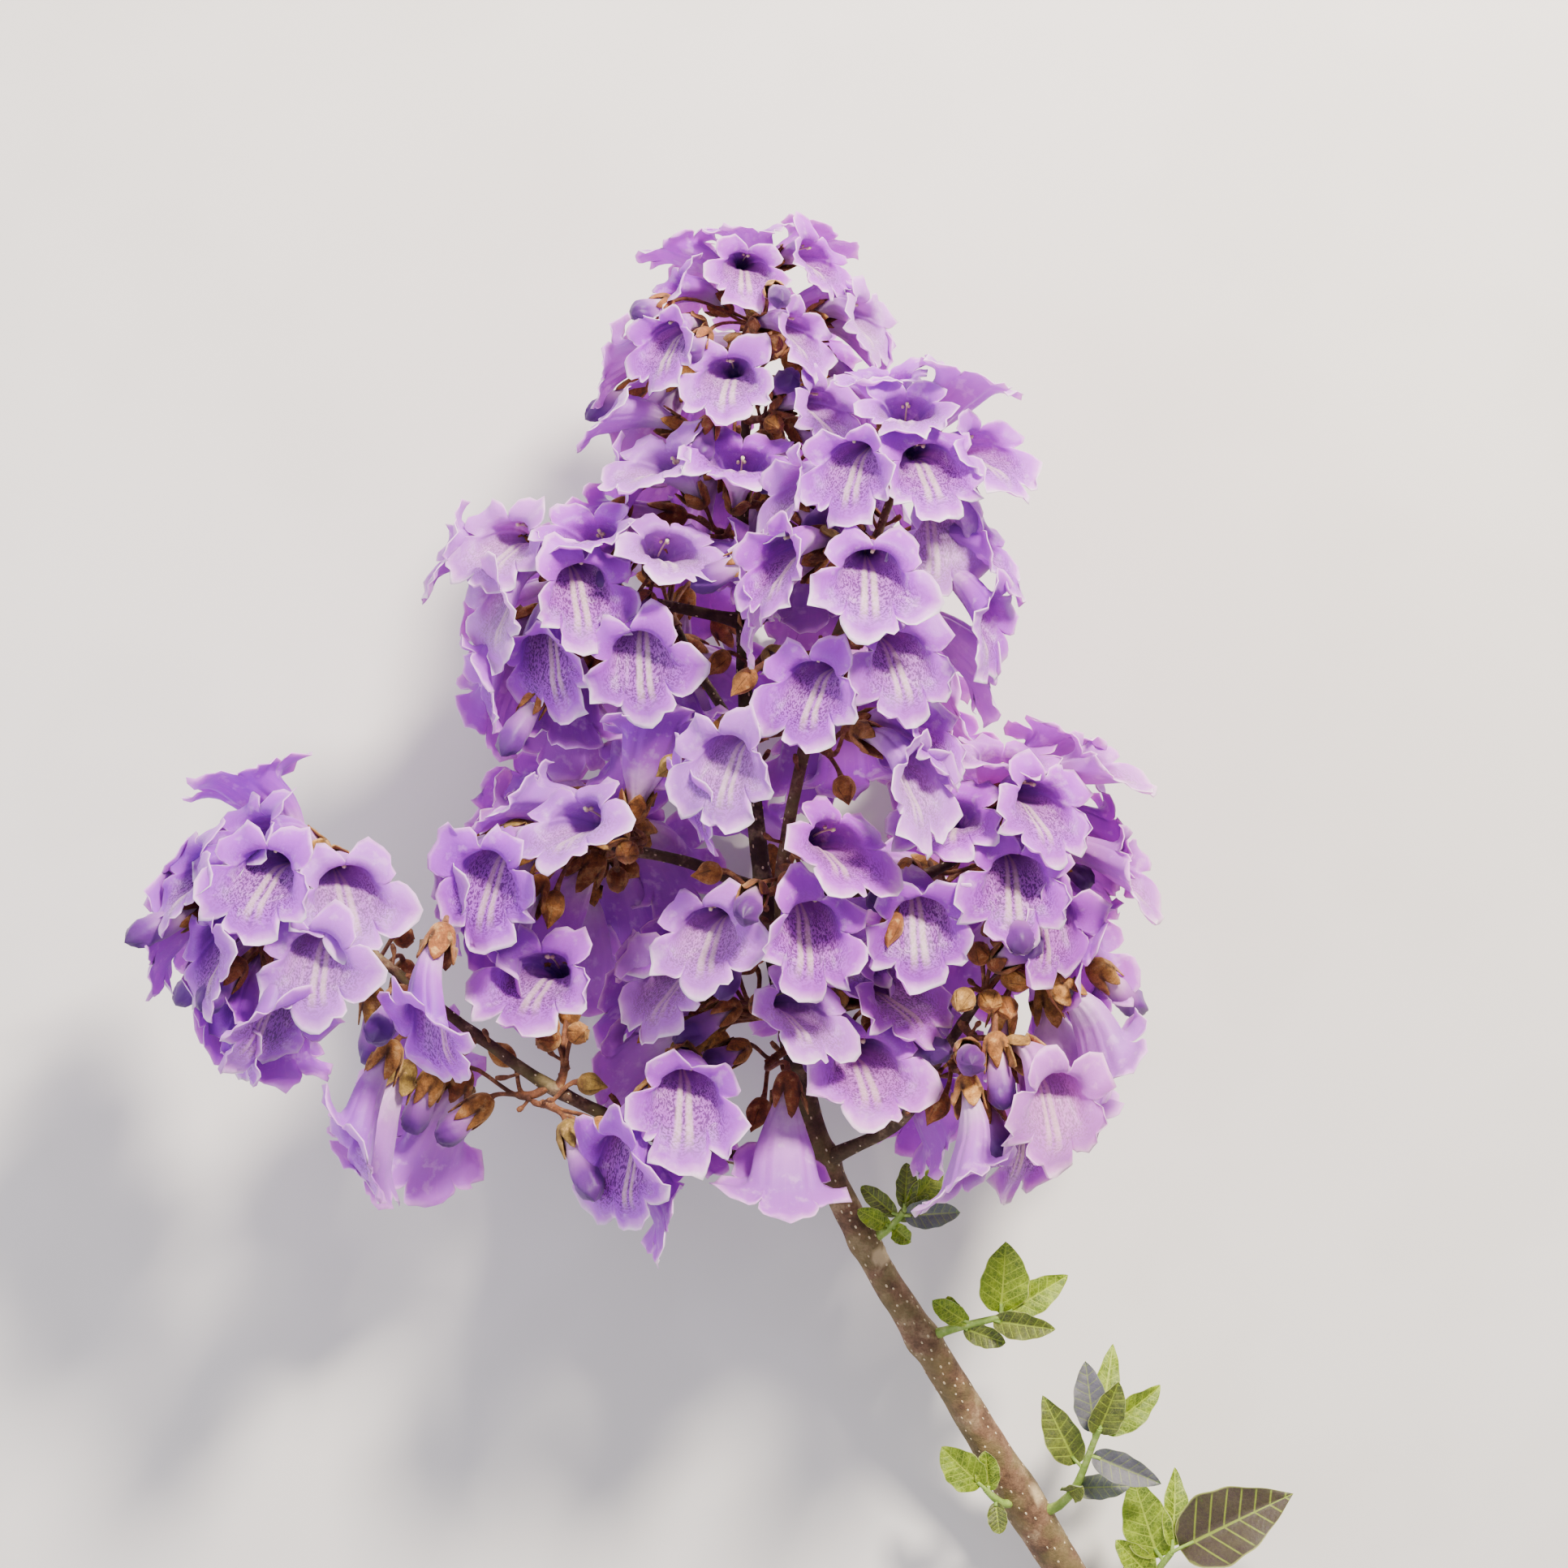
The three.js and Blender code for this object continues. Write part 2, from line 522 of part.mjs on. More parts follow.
function leafGeometry({ from, direction, length, width }) {
  const axes = axesAlong(direction, towardsEye);
  const rings = [
    ring(twigSides, petioleRadius * sunkShare, 0),
    ring(twigSides, petioleRadius, length * 0.15),
    bladeRing(width * 0.5, leafThickness / 2, length * 0.36, 0),
    bladeRing(width * 0.36, leafThickness / 2, length * 0.7, -length * 0.03),
    [new THREE.Vector3(0, -length * 0.1, length)],
  ];
  return skin(rings.map((points) => stood(points, from, axes)));
}

function limbGeometry(limb, sides) {
  const steps = (limb.curve.points.length - 1) * 2;
  const rings = Array.from({ length: steps + 1 }, (_, k) => {
    const t = k / steps;
    const axis = k === 0 ? limb.footNormal : limb.curve.getTangent(t).normalize();
    return stood(ring(sides, radiusAt(limb, t), 0), limb.curve.getPoint(t), axesAlong(axis, towardsEye));
  });
  return skin(rings);
}

function solid(geometry) {
  const vertProperties = new Float32Array(geometry.attributes.position.array);
  const triVerts = new Uint32Array(geometry.index.array);
  return new wasm.Manifold(new wasm.Mesh({ numProp: 3, vertProperties, triVerts }));
}

function fused(geometries) {
  const [first, ...rest] = geometries.map(solid);
  const made = rest.reduce((whole, piece) => whole.add(piece), first).getMesh();
  const geometry = new THREE.BufferGeometry();
  geometry.setAttribute("position", new THREE.BufferAttribute(made.vertProperties, 3));
  return geometry.setIndex(new THREE.BufferAttribute(made.triVerts, 1));
}

// The first stalk of a cluster bends at the heel, and the others start inside it there
function cymeGeometry({ foot, heel, stalks }) {
  const pieces = stalks.filter((stalk) => stalk.flowers.length).map((stalk, number) => {
    const [first] = stalk.flowers;
    return number === 0
      ? endedStalk([foot.at, heel, stalk.at], [stalkRadius, stalkRadius, forkRadius], foot.normal, first)
      : endedStalk([heel, stalk.at], [branchedStalkRadius, forkRadius], null, first);
  });
  return fused([...pieces, ...stalks.flatMap((stalk) => stalk.flowers.slice(1)).map(sideFlower)]);
}

function leafTwigGeometry({ foot, heel, end, blades }) {
  const points = [foot.at, heel, end];
  const axes = axesAlong(end.clone().sub(heel).normalize(), towardsEye);
  const stem = skin(stalkRings(points, [stalkRadius, stalkRadius, leafStemTipRadius], axes, foot.normal));
  return fused([stem, ...blades.map(leafGeometry)]);
}

const plainMaterial = (color, roughness) => new THREE.MeshStandardMaterial({ color, roughness, metalness: 0 });
const materials = {
  bark: plainMaterial(0x6b5244, 0.75),
  blossom: plainMaterial(0xb48ad6, 0.6),
  leaf: plainMaterial(0x9aa83e, 0.6),
};

const plant = new THREE.Group();

function addPiece(name, geometry, material) {
  const mesh = new THREE.Mesh(geometry, material);
  mesh.name = name;
  plant.add(mesh);
}

const mainSides = 10;
const branchSides = 6;
const { leafy, flowering } = layOut();

Object.entries(limbs).forEach(([name, limb]) => {
  addPiece(name, limbGeometry(limb, name === "main_shoot" ? mainSides : branchSides), materials.bark);
});
flowering.forEach((cyme) => addPiece(cyme.name, cymeGeometry(cyme), materials.blossom));
leafy.forEach((twig) => addPiece(twig.name, leafTwigGeometry(twig), materials.leaf));

// Lay the shoot down, with its box centred over the origin and its lowest point on the ground
plant.rotation.set(THREE.MathUtils.degToRad(lieTurnX), THREE.MathUtils.degToRad(lieTurnY), 0, "YXZ");
plant.updateMatrixWorld(true);
const box = new THREE.Box3().setFromObject(plant, true);
plant.position.set(-(box.min.x + box.max.x) / 2, -(box.min.y + box.max.y) / 2, -box.min.z);

export default plant;
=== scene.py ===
# A flowering shoot of a paulownia tree, cut and laid down: its looks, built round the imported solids.
# It is laid out in millimetres as it grew, seen from its better side: x runs across, y up the shoot
# and z towards the eye. layDown() then carries every point into the frame, in metres.
import json
import math

import bpy
import numpy as np
from mathutils import Matrix, Vector, noise

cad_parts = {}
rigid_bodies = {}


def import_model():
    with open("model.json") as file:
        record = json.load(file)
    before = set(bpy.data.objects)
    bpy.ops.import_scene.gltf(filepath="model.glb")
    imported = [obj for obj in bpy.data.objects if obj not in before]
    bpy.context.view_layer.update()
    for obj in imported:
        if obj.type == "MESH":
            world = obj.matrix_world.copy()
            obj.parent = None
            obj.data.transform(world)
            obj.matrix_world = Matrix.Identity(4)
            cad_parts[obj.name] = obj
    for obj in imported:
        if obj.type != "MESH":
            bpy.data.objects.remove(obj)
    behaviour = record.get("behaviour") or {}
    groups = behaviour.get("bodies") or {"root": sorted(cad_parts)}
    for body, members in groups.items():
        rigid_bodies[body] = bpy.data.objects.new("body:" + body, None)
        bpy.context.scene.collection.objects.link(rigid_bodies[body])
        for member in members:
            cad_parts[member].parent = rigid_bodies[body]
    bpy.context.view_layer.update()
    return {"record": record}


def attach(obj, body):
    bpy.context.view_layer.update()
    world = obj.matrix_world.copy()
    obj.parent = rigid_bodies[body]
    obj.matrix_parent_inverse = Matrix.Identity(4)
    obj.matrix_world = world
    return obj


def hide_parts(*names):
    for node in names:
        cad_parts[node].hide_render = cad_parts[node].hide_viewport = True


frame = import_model()

# How the shoot lies: turned about x, then about y, with its cut end where the record has it
lie = {"turnX": 0.44, "turnY": -0.88, "cutEnd": [118, -315, -96]}
turnX, turnY = (Matrix.Rotation(math.radians(lie["turn" + axis]), 3, axis) for axis in "XY")
lieTurn = turnY @ turnX
cutEnd = frame["record"]["mounts"][0]["pos_m"]
lieMove = np.array(cutEnd) - np.array(lieTurn) @ np.array(lie["cutEnd"]) / 1000


def layDown(points):
    return np.asarray(points, float) @ np.array(lieTurn).T / 1000 + lieMove


# The limbs: the points that each runs through, its radius at its foot and at each of those points,
# and where along the main shoot it leaves
mainShoot = {
    "through": [
        [118, -315, -96], [101, -284, -86], [58, -211, -60], [33, -170, -45], [13, -129, -30], [5, -99, -21],
        [0, -77, -15], [-7, -35, -6], [-12, 12, 1], [-14, 56, 5], [-14, 102, 7], [-12, 132, 7], [-10, 150, 6],
    ],
    "radius": [7.5, 7.1, 5.9, 5.1, 4.9, 3.9, 3.4, 3.2, 2.7, 2.3, 1.9, 1.5, 1.2],
}
sideBranches = {
    "left_low_branch": {
        "leaves": 0.325, "radius": [2.8, 2.4, 2.2, 1.9, 1.6, 1.3],
        "through": [[-32, -125, -8], [-74, -106, 8], [-104, -85, 16], [-134, -61, 20], [-151, -48, 22]],
    },
    "right_low_branch": {
        "leaves": 0.33, "radius": [2.5, 2.1, 1.8, 1.6, 1.3],
        "through": [[40, -116, -8], [51, -97, 4], [62, -79, 12], [76, -60, 16]],
    },
    "front_branch": {
        "leaves": 0.5, "radius": [2.5, 2.2, 2.1, 1.8, 1.6, 1.3],
        "through": [[-1, -35, 17], [5, 3, 32], [15, 41, 43], [28, 75, 49], [36, 96, 51]],
    },
    "back_low_branch": {
        "leaves": 0.5, "radius": [2.3, 2, 1.7, 1.3],
        "through": [[8, -56, -34], [14, -22, -46], [18, 12, -50]],
    },
    "left_mid_branch": {
        "leaves": 0.583, "radius": [2.3, 2, 1.7, 1.3],
        "through": [[-32, -27, 3], [-54, -22, 8], [-66, -18, 10]],
    },
    "right_mid_branch": {
        "leaves": 0.578, "radius": [2.3, 2, 1.7, 1.3],
        "through": [[24, -37, -4], [48, -31, 2], [62, -24, 5]],
    },
    "back_mid_branch": {
        "leaves": 0.667, "radius": [2, 1.7, 1.5, 1.3],
        "through": [[-20, 24, -20], [-30, 40, -32], [-38, 56, -38]],
    },
    "left_high_branch": {
        "leaves": 0.75, "radius": [2.1, 1.8, 1.5, 1.3],
        "through": [[-36, 60, 6], [-54, 64, 7], [-66, 68, 8]],
    },
}

# The flower clusters on each limb: where along it, then for each of the cluster's forks the middle of
# its open mouths and how many blooms and buds it bears
cymes = [
    ["left_low_branch", {
        "far_left": [
            1, [-176, -26, 48, 3, 1], [-202, -42, 16, 3, 1], [-182, -60, 28, 3, 0],
            [-162, -46, 62, 2, 0],
        ],
        "left_tip_back": [0.84, [-128, -74, -24, 1, 2]],
        "left_low_front": [0.72, [-116, -56, 72, 1, 1]],
        "left_low_side": [0.6, [-150, -84, 38, 2, 0], [-142, -102, 12, 1, 1]],
        "left_bud": [0.42, [-80, -46, 26, 1, 4]],
        "left_hanging": [0.44, [-104, -100, 8, 1, 2], [-70, -112, 16, 1, 3]],
        "left_near": [0.25, [-44, -94, 40, 2, 0]],
    }],
    ["main_shoot", {
        "low_front": [0.5, [-22, -62, 58, 1, 1], [-52, -56, 24, 2, 1], [-52, -84, 4, 2, 0]],
        "low_hanging": [0.45, [-20, -106, 10, 1, 2]],
        "low_right": [0.465, [36, -58, 36, 2, 1]],
        "low_right_back": [0.43, [38, -88, -16, 2, 1]],
    }],
    ["right_low_branch", {
        "right_hanging": [0.6, [58, -98, 24, 1, 3]],
        "right_low_front": [0.72, [72, -90, 44, 2, 0]],
        "right_bud": [0.86, [70, -60, 58, 0, 6]],
        "right_low_tip": [1, [84, -78, 28, 2, 1], [82, -54, 0, 3, 0]],
    }],
    ["right_mid_branch", {
        "right_mid_tip": [1, [68, 2, 46, 2, 0], [80, -2, 32, 2, 1], [84, -24, 22, 3, 0]],
        "right_mid_front": [0.62, [62, -34, 62, 3, 1]],
        "right_mid_back": [0.7, [66, -44, -94, 3, 1], [86, -22, -40, 2, 0]],
    }],
    ["front_branch", {
        "front_left": [0.2, [-38, -40, 60, 1, 2]],
        "front_right": [0.24, [10, -32, 82, 1, 0], [34, -32, 78, 1, 0]],
        "front_mid_right": [0.46, [42, -6, 76, 2, 1]],
        "front_mid_left": [0.48, [-26, 18, 74, 2, 1]],
        "front_high": [0.64, [8, 40, 92, 1, 0], [36, 44, 84, 1, 1]],
        "front_high_right": [0.8, [44, 66, 80, 2, 1]],
        "front_high_left": [0.84, [2, 76, 90, 2, 0]],
        "front_tip": [1, [14, 110, 84, 2, 1], [36, 106, 76, 2, 1]],
    }],
    ["left_mid_branch", {
        "left_mid_front": [0.6, [-62, -6, 56, 2, 0], [-38, -4, 54, 1, 1]],
        "left_mid_tip": [1, [-78, -30, 24, 3, 0], [-78, -50, 36, 2, 1]],
        "left_mid_back": [0.7, [-80, -34, -98, 3, 1], [-86, -12, -44, 2, 0]],
    }],
    ["left_high_branch", {
        "left_high_tip": [1, [-80, 74, 42, 3, 2], [-86, 52, 14, 3, 0]],
        "left_high_low": [0.6, [-74, 28, 20, 3, 0], [-56, 26, 46, 2, 0]],
        "left_high_front": [0.55, [-62, 66, 56, 2, 0], [-40, 60, 58, 2, 0]],
        "left_high_back": [0.7, [-72, 60, -36, 4, 1]],
    }],
    ["main_shoot", {
        "centre_bud": [0.72, [-22, 48, 50, 0, 3], [34, 34, 6, 3, 1]],
        "upper_right": [0.82, [28, 80, 4, 3, 0], [22, 106, 8, 2, 1]],
        "upper_left": [0.8, [-44, 90, 30, 3, 0], [-26, 90, 52, 2, 0]],
        "upper_front": [0.86, [-34, 112, 26, 3, 0], [-20, 114, 46, 2, 0]],
        "upper_bud": [0.89, [4, 122, 46, 0, 4], [12, 130, 32, 2, 0]],
        "upper_back": [0.86, [-8, 104, -46, 5, 0]],
        "top_left": [0.94, [-34, 142, 24, 3, 0], [-22, 144, 42, 2, 0]],
        "top_back": [0.95, [-8, 154, -34, 4, 1]],
        "top_right": [0.97, [14, 150, 32, 3, 0]],
        "top": [1, [-22, 178, 28, 2, 0], [4, 180, 26, 2, 1], [-8, 170, 44, 1, 0]],
    }],
    ["back_low_branch", {
        "back_low_tip": [1, [24, 40, -82, 3, 1], [46, 0, -82, 3, 0]],
        "back_low": [0.5, [-16, -40, -82, 4, 1]],
    }],
    ["back_mid_branch", {
        "back_mid_tip": [1, [-46, 80, -78, 3, 0], [-58, 30, -78, 3, 1]],
    }],
]

# The leafy twigs on the main shoot: where each leaves it, the tip of its stem, and its leaves from the
# foot up: how far along the stem, length, width, and the way it points
leafTwigs = {
    "upper": [
        0.268, [42, -150, -34], [0.25, 14, 7, [-0.9, 0.5, 0.5]], [0.3, 9, 7, [0.6, -0.5, 0.6]],
        [0.5, 15, 6, [0.7, 0.6, 0.4]], [0.7, 17, 7, [-0.7, 0.6, 0.1]], [0.8, 21, 10, [0.95, 0.1, 0.4]],
        [1, 21, 10, [0.7, 0.75, -0.1]], [1, 17, 8, [0.1, 1, 0.2]],
    ],
    "middle": [
        0.19, [76, -188, -42], [0.2, 12, 7, [-0.3, 0.9, 0.4]], [0.25, 17, 8, [0.9, -0.3, 0.4]],
        [0.45, 16, 8, [-0.8, 0.5, 0.3]], [0.8, 24, 10, [0.9, -0.1, 0.5]], [1, 27, 18, [0.1, 1, 0.3]],
        [1, 28, 12, [0.9, 0.55, 0.1]], [1, 22, 9, [0.15, 1, -0.5]],
    ],
    "lower": [
        0.108, [112, -229, -52], [0.2, 12, 8, [0.3, 0.2, 0.9]], [0.25, 22, 9, [0.98, 0.1, 0.3]],
        [0.5, 30, 13, [-0.45, 0.9, 0.35]], [0.7, 28, 11, [0.9, -0.35, 0.3]],
        [0.9, 27, 12, [-0.15, 1, 0.2]], [0.95, 28, 12, [0.85, 0.55, 0]], [1, 31, 9, [0.2, 1, -0.2]],
        [0.9, 24, 12, [0.35, 0.9, 0.6]],
    ],
    "left": [
        0.118, [72, -252, -62], [0.5, 12, 7, [0.1, -0.9, 0.3]], [0.8, 16, 9, [-0.1, 0.9, 0.4]],
        [1, 22, 14, [-0.7, 0.65, 0.3]],
    ],
    "foot": [
        0.035, [139, -276, -68], [0.3, 24, 13, [0.1, 0.9, 0.6]], [0.6, 20, 10, [-0.6, 0.7, 0.5]],
        [0.8, 35, 18, [-0.35, 1, 0.25]], [1, 30, 10, [0.1, 1, -0.05]], [1, 48, 27, [0.9, 0.5, 0.2]],
    ],
}

# The flowers and stalks as the solids have them, and the closer searches that fill the clusters out
growth = {
    "bloomLength": 52, "pedicelLength": 8, "pedicelSpread": 9, "pedicelRadius": 1, "stalkRadius": 1.6,
    "clearance": 0.3, "floorDepth": -104,
    "flowerSizes": [[-130, 1], [70, 0.9], [120, 0.8], [170, 0.68]], "sizeSpread": 0.04,
    "tubeBalls": [[5, 3.4], [12, 5.6], [20, 6.6], [29, 8.4], [40, 10.8], [50, 9]],
    "budBalls": [[4, 3], [10, 4.8], [16, 5.2], [22, 5.2]],
    "lobeAlong": 51, "lobeOut": 13.4, "lobeRadius": 7.6, "lobes": 5, "farthestBall": 93,
    "ballStep": 3, "heelLength": 4, "shortestStalk": 6, "bladeRoom": 0.3,
    "fanAngles": [0, 0, 19, 23, 28, 33], "budLean": 40, "droop": 0.25,
    "forkStep": 2.2, "forkShare": 0.8, "goldenTurn": 2.399963,
}
plannedSearch = {"tries": 150, "step": 0.075, "reach": 50, "room": 1}
closerSearch = {"tries": 260, "step": 0.09, "reach": 56, "room": 0.78}
extraSearch = {"tries": 200, "step": 0.1, "reach": 58, "room": 0.72, "isExtra": True}
budSearch = {"tries": 120, "step": 0.11, "reach": 82, "room": 0.66, "further": 24, "isExtra": True}
# The extra rounds: each stalk gets one more flower, as far round as this share of its blooms and its buds
extraRounds = [[extraSearch, 0.15, 0], [extraSearch, 0.45, 0], [extraSearch, 0.75, 0], [budSearch, 1, 1]]

# The stretches of limb that no bloom hides from the eye, unless the solids have it there
inView = {
    "steps": 40, "mayHide": 1,
    "stretches": {
        "front_branch": [0.05, 0.95], "main_shoot": [0.3, 0.64],
        "left_low_branch": [0.05, 0.8], "right_low_branch": [0.05, 0.75],
    },
}


def chance(seed):
    s = math.sin(seed * 12.9898 + 78.233) * 43758.5453
    return s - math.floor(s)


def point(*values):
    return np.array(values, float)


def unit(v):
    return v / math.sqrt(v @ v)


upTheShoot = point(0, 1, 0.0001)
towardsEye = point(0.0001, 0, 1)


def axesAlong(axis, up):
    side = unit(np.cross(up, axis))
    return side, unit(np.cross(axis, side)), axis


def lean(aim, angle, turn):
    side, up, _ = axesAlong(aim, upTheShoot)
    out = side * math.cos(turn) + up * math.sin(turn)
    return unit(aim * math.cos(angle) + out * math.sin(angle))


def limbPoint(limb, t):
    points = limb["points"]
    last = len(points) - 1
    k = min(int(last * t), last - 1)
    w = last * t - k
    a, b = points[k], points[k + 1]
    before = points[k - 1] if k > 0 else 2 * a - b
    after = points[k + 2] if k + 2 <= last else 2 * b - a
    slopeA, slopeB = 0.5 * (b - before), 0.5 * (after - a)
    bend = 3 * (b - a) - 2 * slopeA - slopeB
    return a + slopeA * w + bend * w * w + (2 * (a - b) + slopeA + slopeB) * w ** 3


def limbTangent(limb, t, step=0.0001):
    return unit(limbPoint(limb, min(t + step, 1)) - limbPoint(limb, max(t - step, 0)))


def limbLength(limb, parts=200):
    line = np.array([limbPoint(limb, k / parts) for k in range(parts + 1)])
    return float(np.sqrt((np.diff(line, axis=0) ** 2).sum(1)).sum())


def radiusAt(limb, t):
    radius = limb["radius"]
    place = min(t * (len(radius) - 1), len(radius) - 1.000001)
    k = int(place)
    return radius[k] + (radius[k + 1] - radius[k]) * (place - k)


# Where a twig leaves a limb, and the way it sets out
def footOn(limb, station, target):
    on, tangent = limbPoint(limb, station), limbTangent(limb, station)
    if station == 1:
        return on + tangent * growth["clearance"], tangent
    out = target - on
    out = unit(out - tangent * (out @ tangent))
    return on + out * (radiusAt(limb, station) + growth["clearance"]), out


limbs = {"main_shoot": {"points": np.array(mainShoot["through"], float), "radius": mainShoot["radius"]}}
for limbName, branch in sideBranches.items():
    branchFoot, _ = footOn(limbs["main_shoot"], branch["leaves"], point(*branch["through"][0]))
    limbs[limbName] = {"points": np.array([branchFoot, *branch["through"]]), "radius": branch["radius"]}

# The balls that are taken: place and radius, the piece that owns each, and whether it is part of a flower
taken = {"ball": [], "owner": [], "isFlower": []}


def take(balls, owner, isFlower=False):
    taken["ball"].extend(list(ball) for ball in balls)
    taken["owner"].extend([owner] * len(balls))
    taken["isFlower"].extend([isFlower] * len(balls))


def takenNear(place, owner):
    balls = np.array(taken["ball"])
    near = ((balls[:, :3] - place) ** 2).sum(1) < growth["farthestBall"] ** 2
    own = np.array([other == owner for other in taken["owner"]])[near]
    return {
        "balls": balls[near], "others": ~own, "ownFlowers": own & np.array(taken["isFlower"])[near],
        "spare": np.where(own, 0, 2 * growth["clearance"]),
    }


# The flowers of one cluster may touch at their feet, and their stalks may run together
def isFree(balls, isFlower, near, room):
    if (balls[:, 2] - balls[:, 3] < growth["floorDepth"]).any():
        return False
    needed = (balls[:, 3:] + near["balls"][:, 3] + near["spare"]) * room
    hits = ((balls[:, None, :3] - near["balls"][None, :, :3]) ** 2).sum(2) <= needed ** 2
    return not (hits & near["others"]).any() and not (isFlower and (hits[1:] & near["ownFlowers"]).any())


def twigBalls(start, end, radius):
    steps = max(1, math.ceil(math.dist(start, end) / growth["ballStep"]))
    return np.array([[*(start + (end - start) * k / steps), radius] for k in range(steps + 1)])


def flowerBalls(isBud, foot, direction, size):
    rows = growth["budBalls"] if isBud else growth["tubeBalls"]
    balls = [[*(foot + direction * z * size), r * size] for z, r in rows]
    if not isBud:
        side, up, _ = axesAlong(direction, upTheShoot)
        for k in range(growth["lobes"]):
            turn = -math.pi / 2 + k * 2 * math.pi / growth["lobes"]
            out = (side * math.cos(turn) + up * math.sin(turn)) * growth["lobeOut"]
            lobe = foot + (direction * growth["lobeAlong"] + out) * size
            balls.append([*lobe, growth["lobeRadius"] * size])
    return np.array(balls)


def placeLimbs():
    for name, limb in limbs.items():
        steps = math.ceil(limbLength(limb) / growth["ballStep"])
        take([[*limbPoint(limb, k / steps), radiusAt(limb, k / steps)] for k in range(steps + 1)], name)


# A foot on a limb and the short heel that stands straight out of it, which every cluster and twig has
def placeHeel(name, limbName, station, target):
    foot, normal = footOn(limbs[limbName], station, target)
    heel = foot + normal * growth["heelLength"]
    take(twigBalls(foot, heel, growth["stalkRadius"]), name)
    return {"name": name, "foot": foot, "normal": normal, "heel": heel}


def placeLeafTwig(name, station, tip, *leaves):
    twig = placeHeel(name, "main_shoot", station, point(*tip))
    heel, twig["end"], twig["blades"] = twig["heel"], point(*tip), []
    take(twigBalls(heel, twig["end"], growth["stalkRadius"]), name)
    for share, length, width, points in leaves:
        start, direction = heel + (twig["end"] - heel) * share, unit(point(*points))
        take(twigBalls(start, start + direction * length, width * growth["bladeRoom"]), name)
        twig["blades"].append({"start": start, "direction": direction, "length": length, "width": width})
    return twig


shownPlaces = np.array([
    limbPoint(limbs[name], t)
    for name, ends in inView["stretches"].items() for t in np.linspace(*ends, inView["steps"])
])


# How many of the limbs' shown places lie behind each flower
def hiddenPlaces(balls):
    across = np.hypot(balls[..., None, 0] - shownPlaces[:, 0], balls[..., None, 1] - shownPlaces[:, 1])
    return ((across < balls[..., None, 3]) & (balls[..., None, 2] > shownPlaces[:, 2])).any(-2).sum(-1)


# The flowers are largest at the foot of the shoot and smallest at its top
def sizeAt(height, seed):
    spread = growth["sizeSpread"]
    return np.interp(height, *np.transpose(growth["flowerSizes"])) * (1 - spread + 2 * spread * chance(seed))


def placeStalks(number, limbName, name, station, *forks):
    middle = sum(point(*fork[:3]) for fork in forks) / len(forks)
    cyme = placeHeel(name, limbName, station, middle)
    cyme["isAiry"] = "hanging" in name or (limbName == "left_low_branch" and station < 0.9)
    cyme["stalks"] = []
    for x, y, z, blooms, buds in forks:
        way = point(x, y, z) - cyme["heel"]
        reach = growth["bloomLength"] * sizeAt(y, number) + growth["pedicelLength"]
        reach += growth["pedicelSpread"] / 2
        distance = math.sqrt(way @ way)
        direction, length = way / distance, max(growth["shortestStalk"], distance - reach)
        at = cyme["heel"] + direction * length
        take(twigBalls(cyme["heel"], at, growth["stalkRadius"]), name)
        cyme["stalks"].append({
            "at": at, "mouths": at + direction * reach, "direction": direction, "length": length,
            "blooms": blooms, "buds": buds, "flowers": [],
        })
    return cyme


# Each flower tries its planned direction first and then others further and further round it
def placeFlower(cyme, stalk, k, seed, search):
    isBud = k >= stalk["blooms"]
    planned = stalk["blooms"] + stalk["buds"]
    share = (k + 0.5) / max(stalk["buds"], 1) if isBud else k / stalk["blooms"]
    opening = math.radians(growth["budLean"] if isBud else growth["fanAngles"][stalk["blooms"]])
    aim = lean(stalk["direction"], opening, chance(seed) + share * 2 * math.pi)
    aim[1] -= 0 if isBud else growth["droop"]
    aim = unit(aim)
    step = min(growth["forkStep"], stalk["length"] * growth["forkShare"] / planned)
    start = stalk["at"] - stalk["direction"] * step * min(len(stalk["flowers"]), planned)
    startSize = sizeAt(start[1], seed)
    near = takenNear(start, cyme["name"])
    for go in range(search["tries"]):
        direction = lean(aim, search["step"] * math.sqrt(go), go * growth["goldenTurn"])
        pedicel = (growth["pedicelLength"] + growth["pedicelSpread"] * chance(seed * 7 + go)) * startSize
        pedicel += search.get("further", 0)
        foot = start + direction * pedicel
        size = sizeAt(foot[1], seed)
        if math.dist(foot + direction * growth["bloomLength"] * size, stalk["mouths"]) > search["reach"]:
            continue
        balls = flowerBalls(isBud, foot, direction, size)
        stem = twigBalls(start, foot, growth["pedicelRadius"])
        if search is not plannedSearch and hiddenPlaces(balls) > inView["mayHide"]:
            continue
        if isFree(balls, True, near, search["room"]) and isFree(stem, False, near, search["room"]):
            firstBall = len(taken["ball"])
            take(balls, cyme["name"], True)
            take(stem, cyme["name"])
            stalk["flowers"].append({
                "start": start, "foot": foot, "direction": direction, "size": size,
                "isBud": isBud, "seed": seed, "owner": cyme["name"],
                "balls": slice(firstBall, firstBall + len(balls)),
                "isExtra": "isExtra" in search,
            })
            return True
    return False


# How the blooms hang: each sinks round the middle of its tube. Of all the ways that it can lean, it takes
# the one that hangs best for the least crowding, and in each round it looks again at where the others are.
# Of the extra flowers, those that are still crowded are then taken out again.
hanging = {
    "sink": 1.5, "sinkSpread": 1.1, "sideways": 0.6, "budSink": 0.5, "nod": 0.4, "lowest": -0.3,
    "pivot": 24, "budPivot": 6, "shares": [1, 0.75, 0.5, 0.25, 0], "partings": [0, 0.3], "turns": 7,
    "rounds": 2, "room": 1.08, "crowding": 3, "limbCrowding": 5, "hiding": 0.5, "parting": 0.5,
    "belowFloor": 9, "nearest": 72, "bloomMost": 0.4, "budMost": 0.1,
}


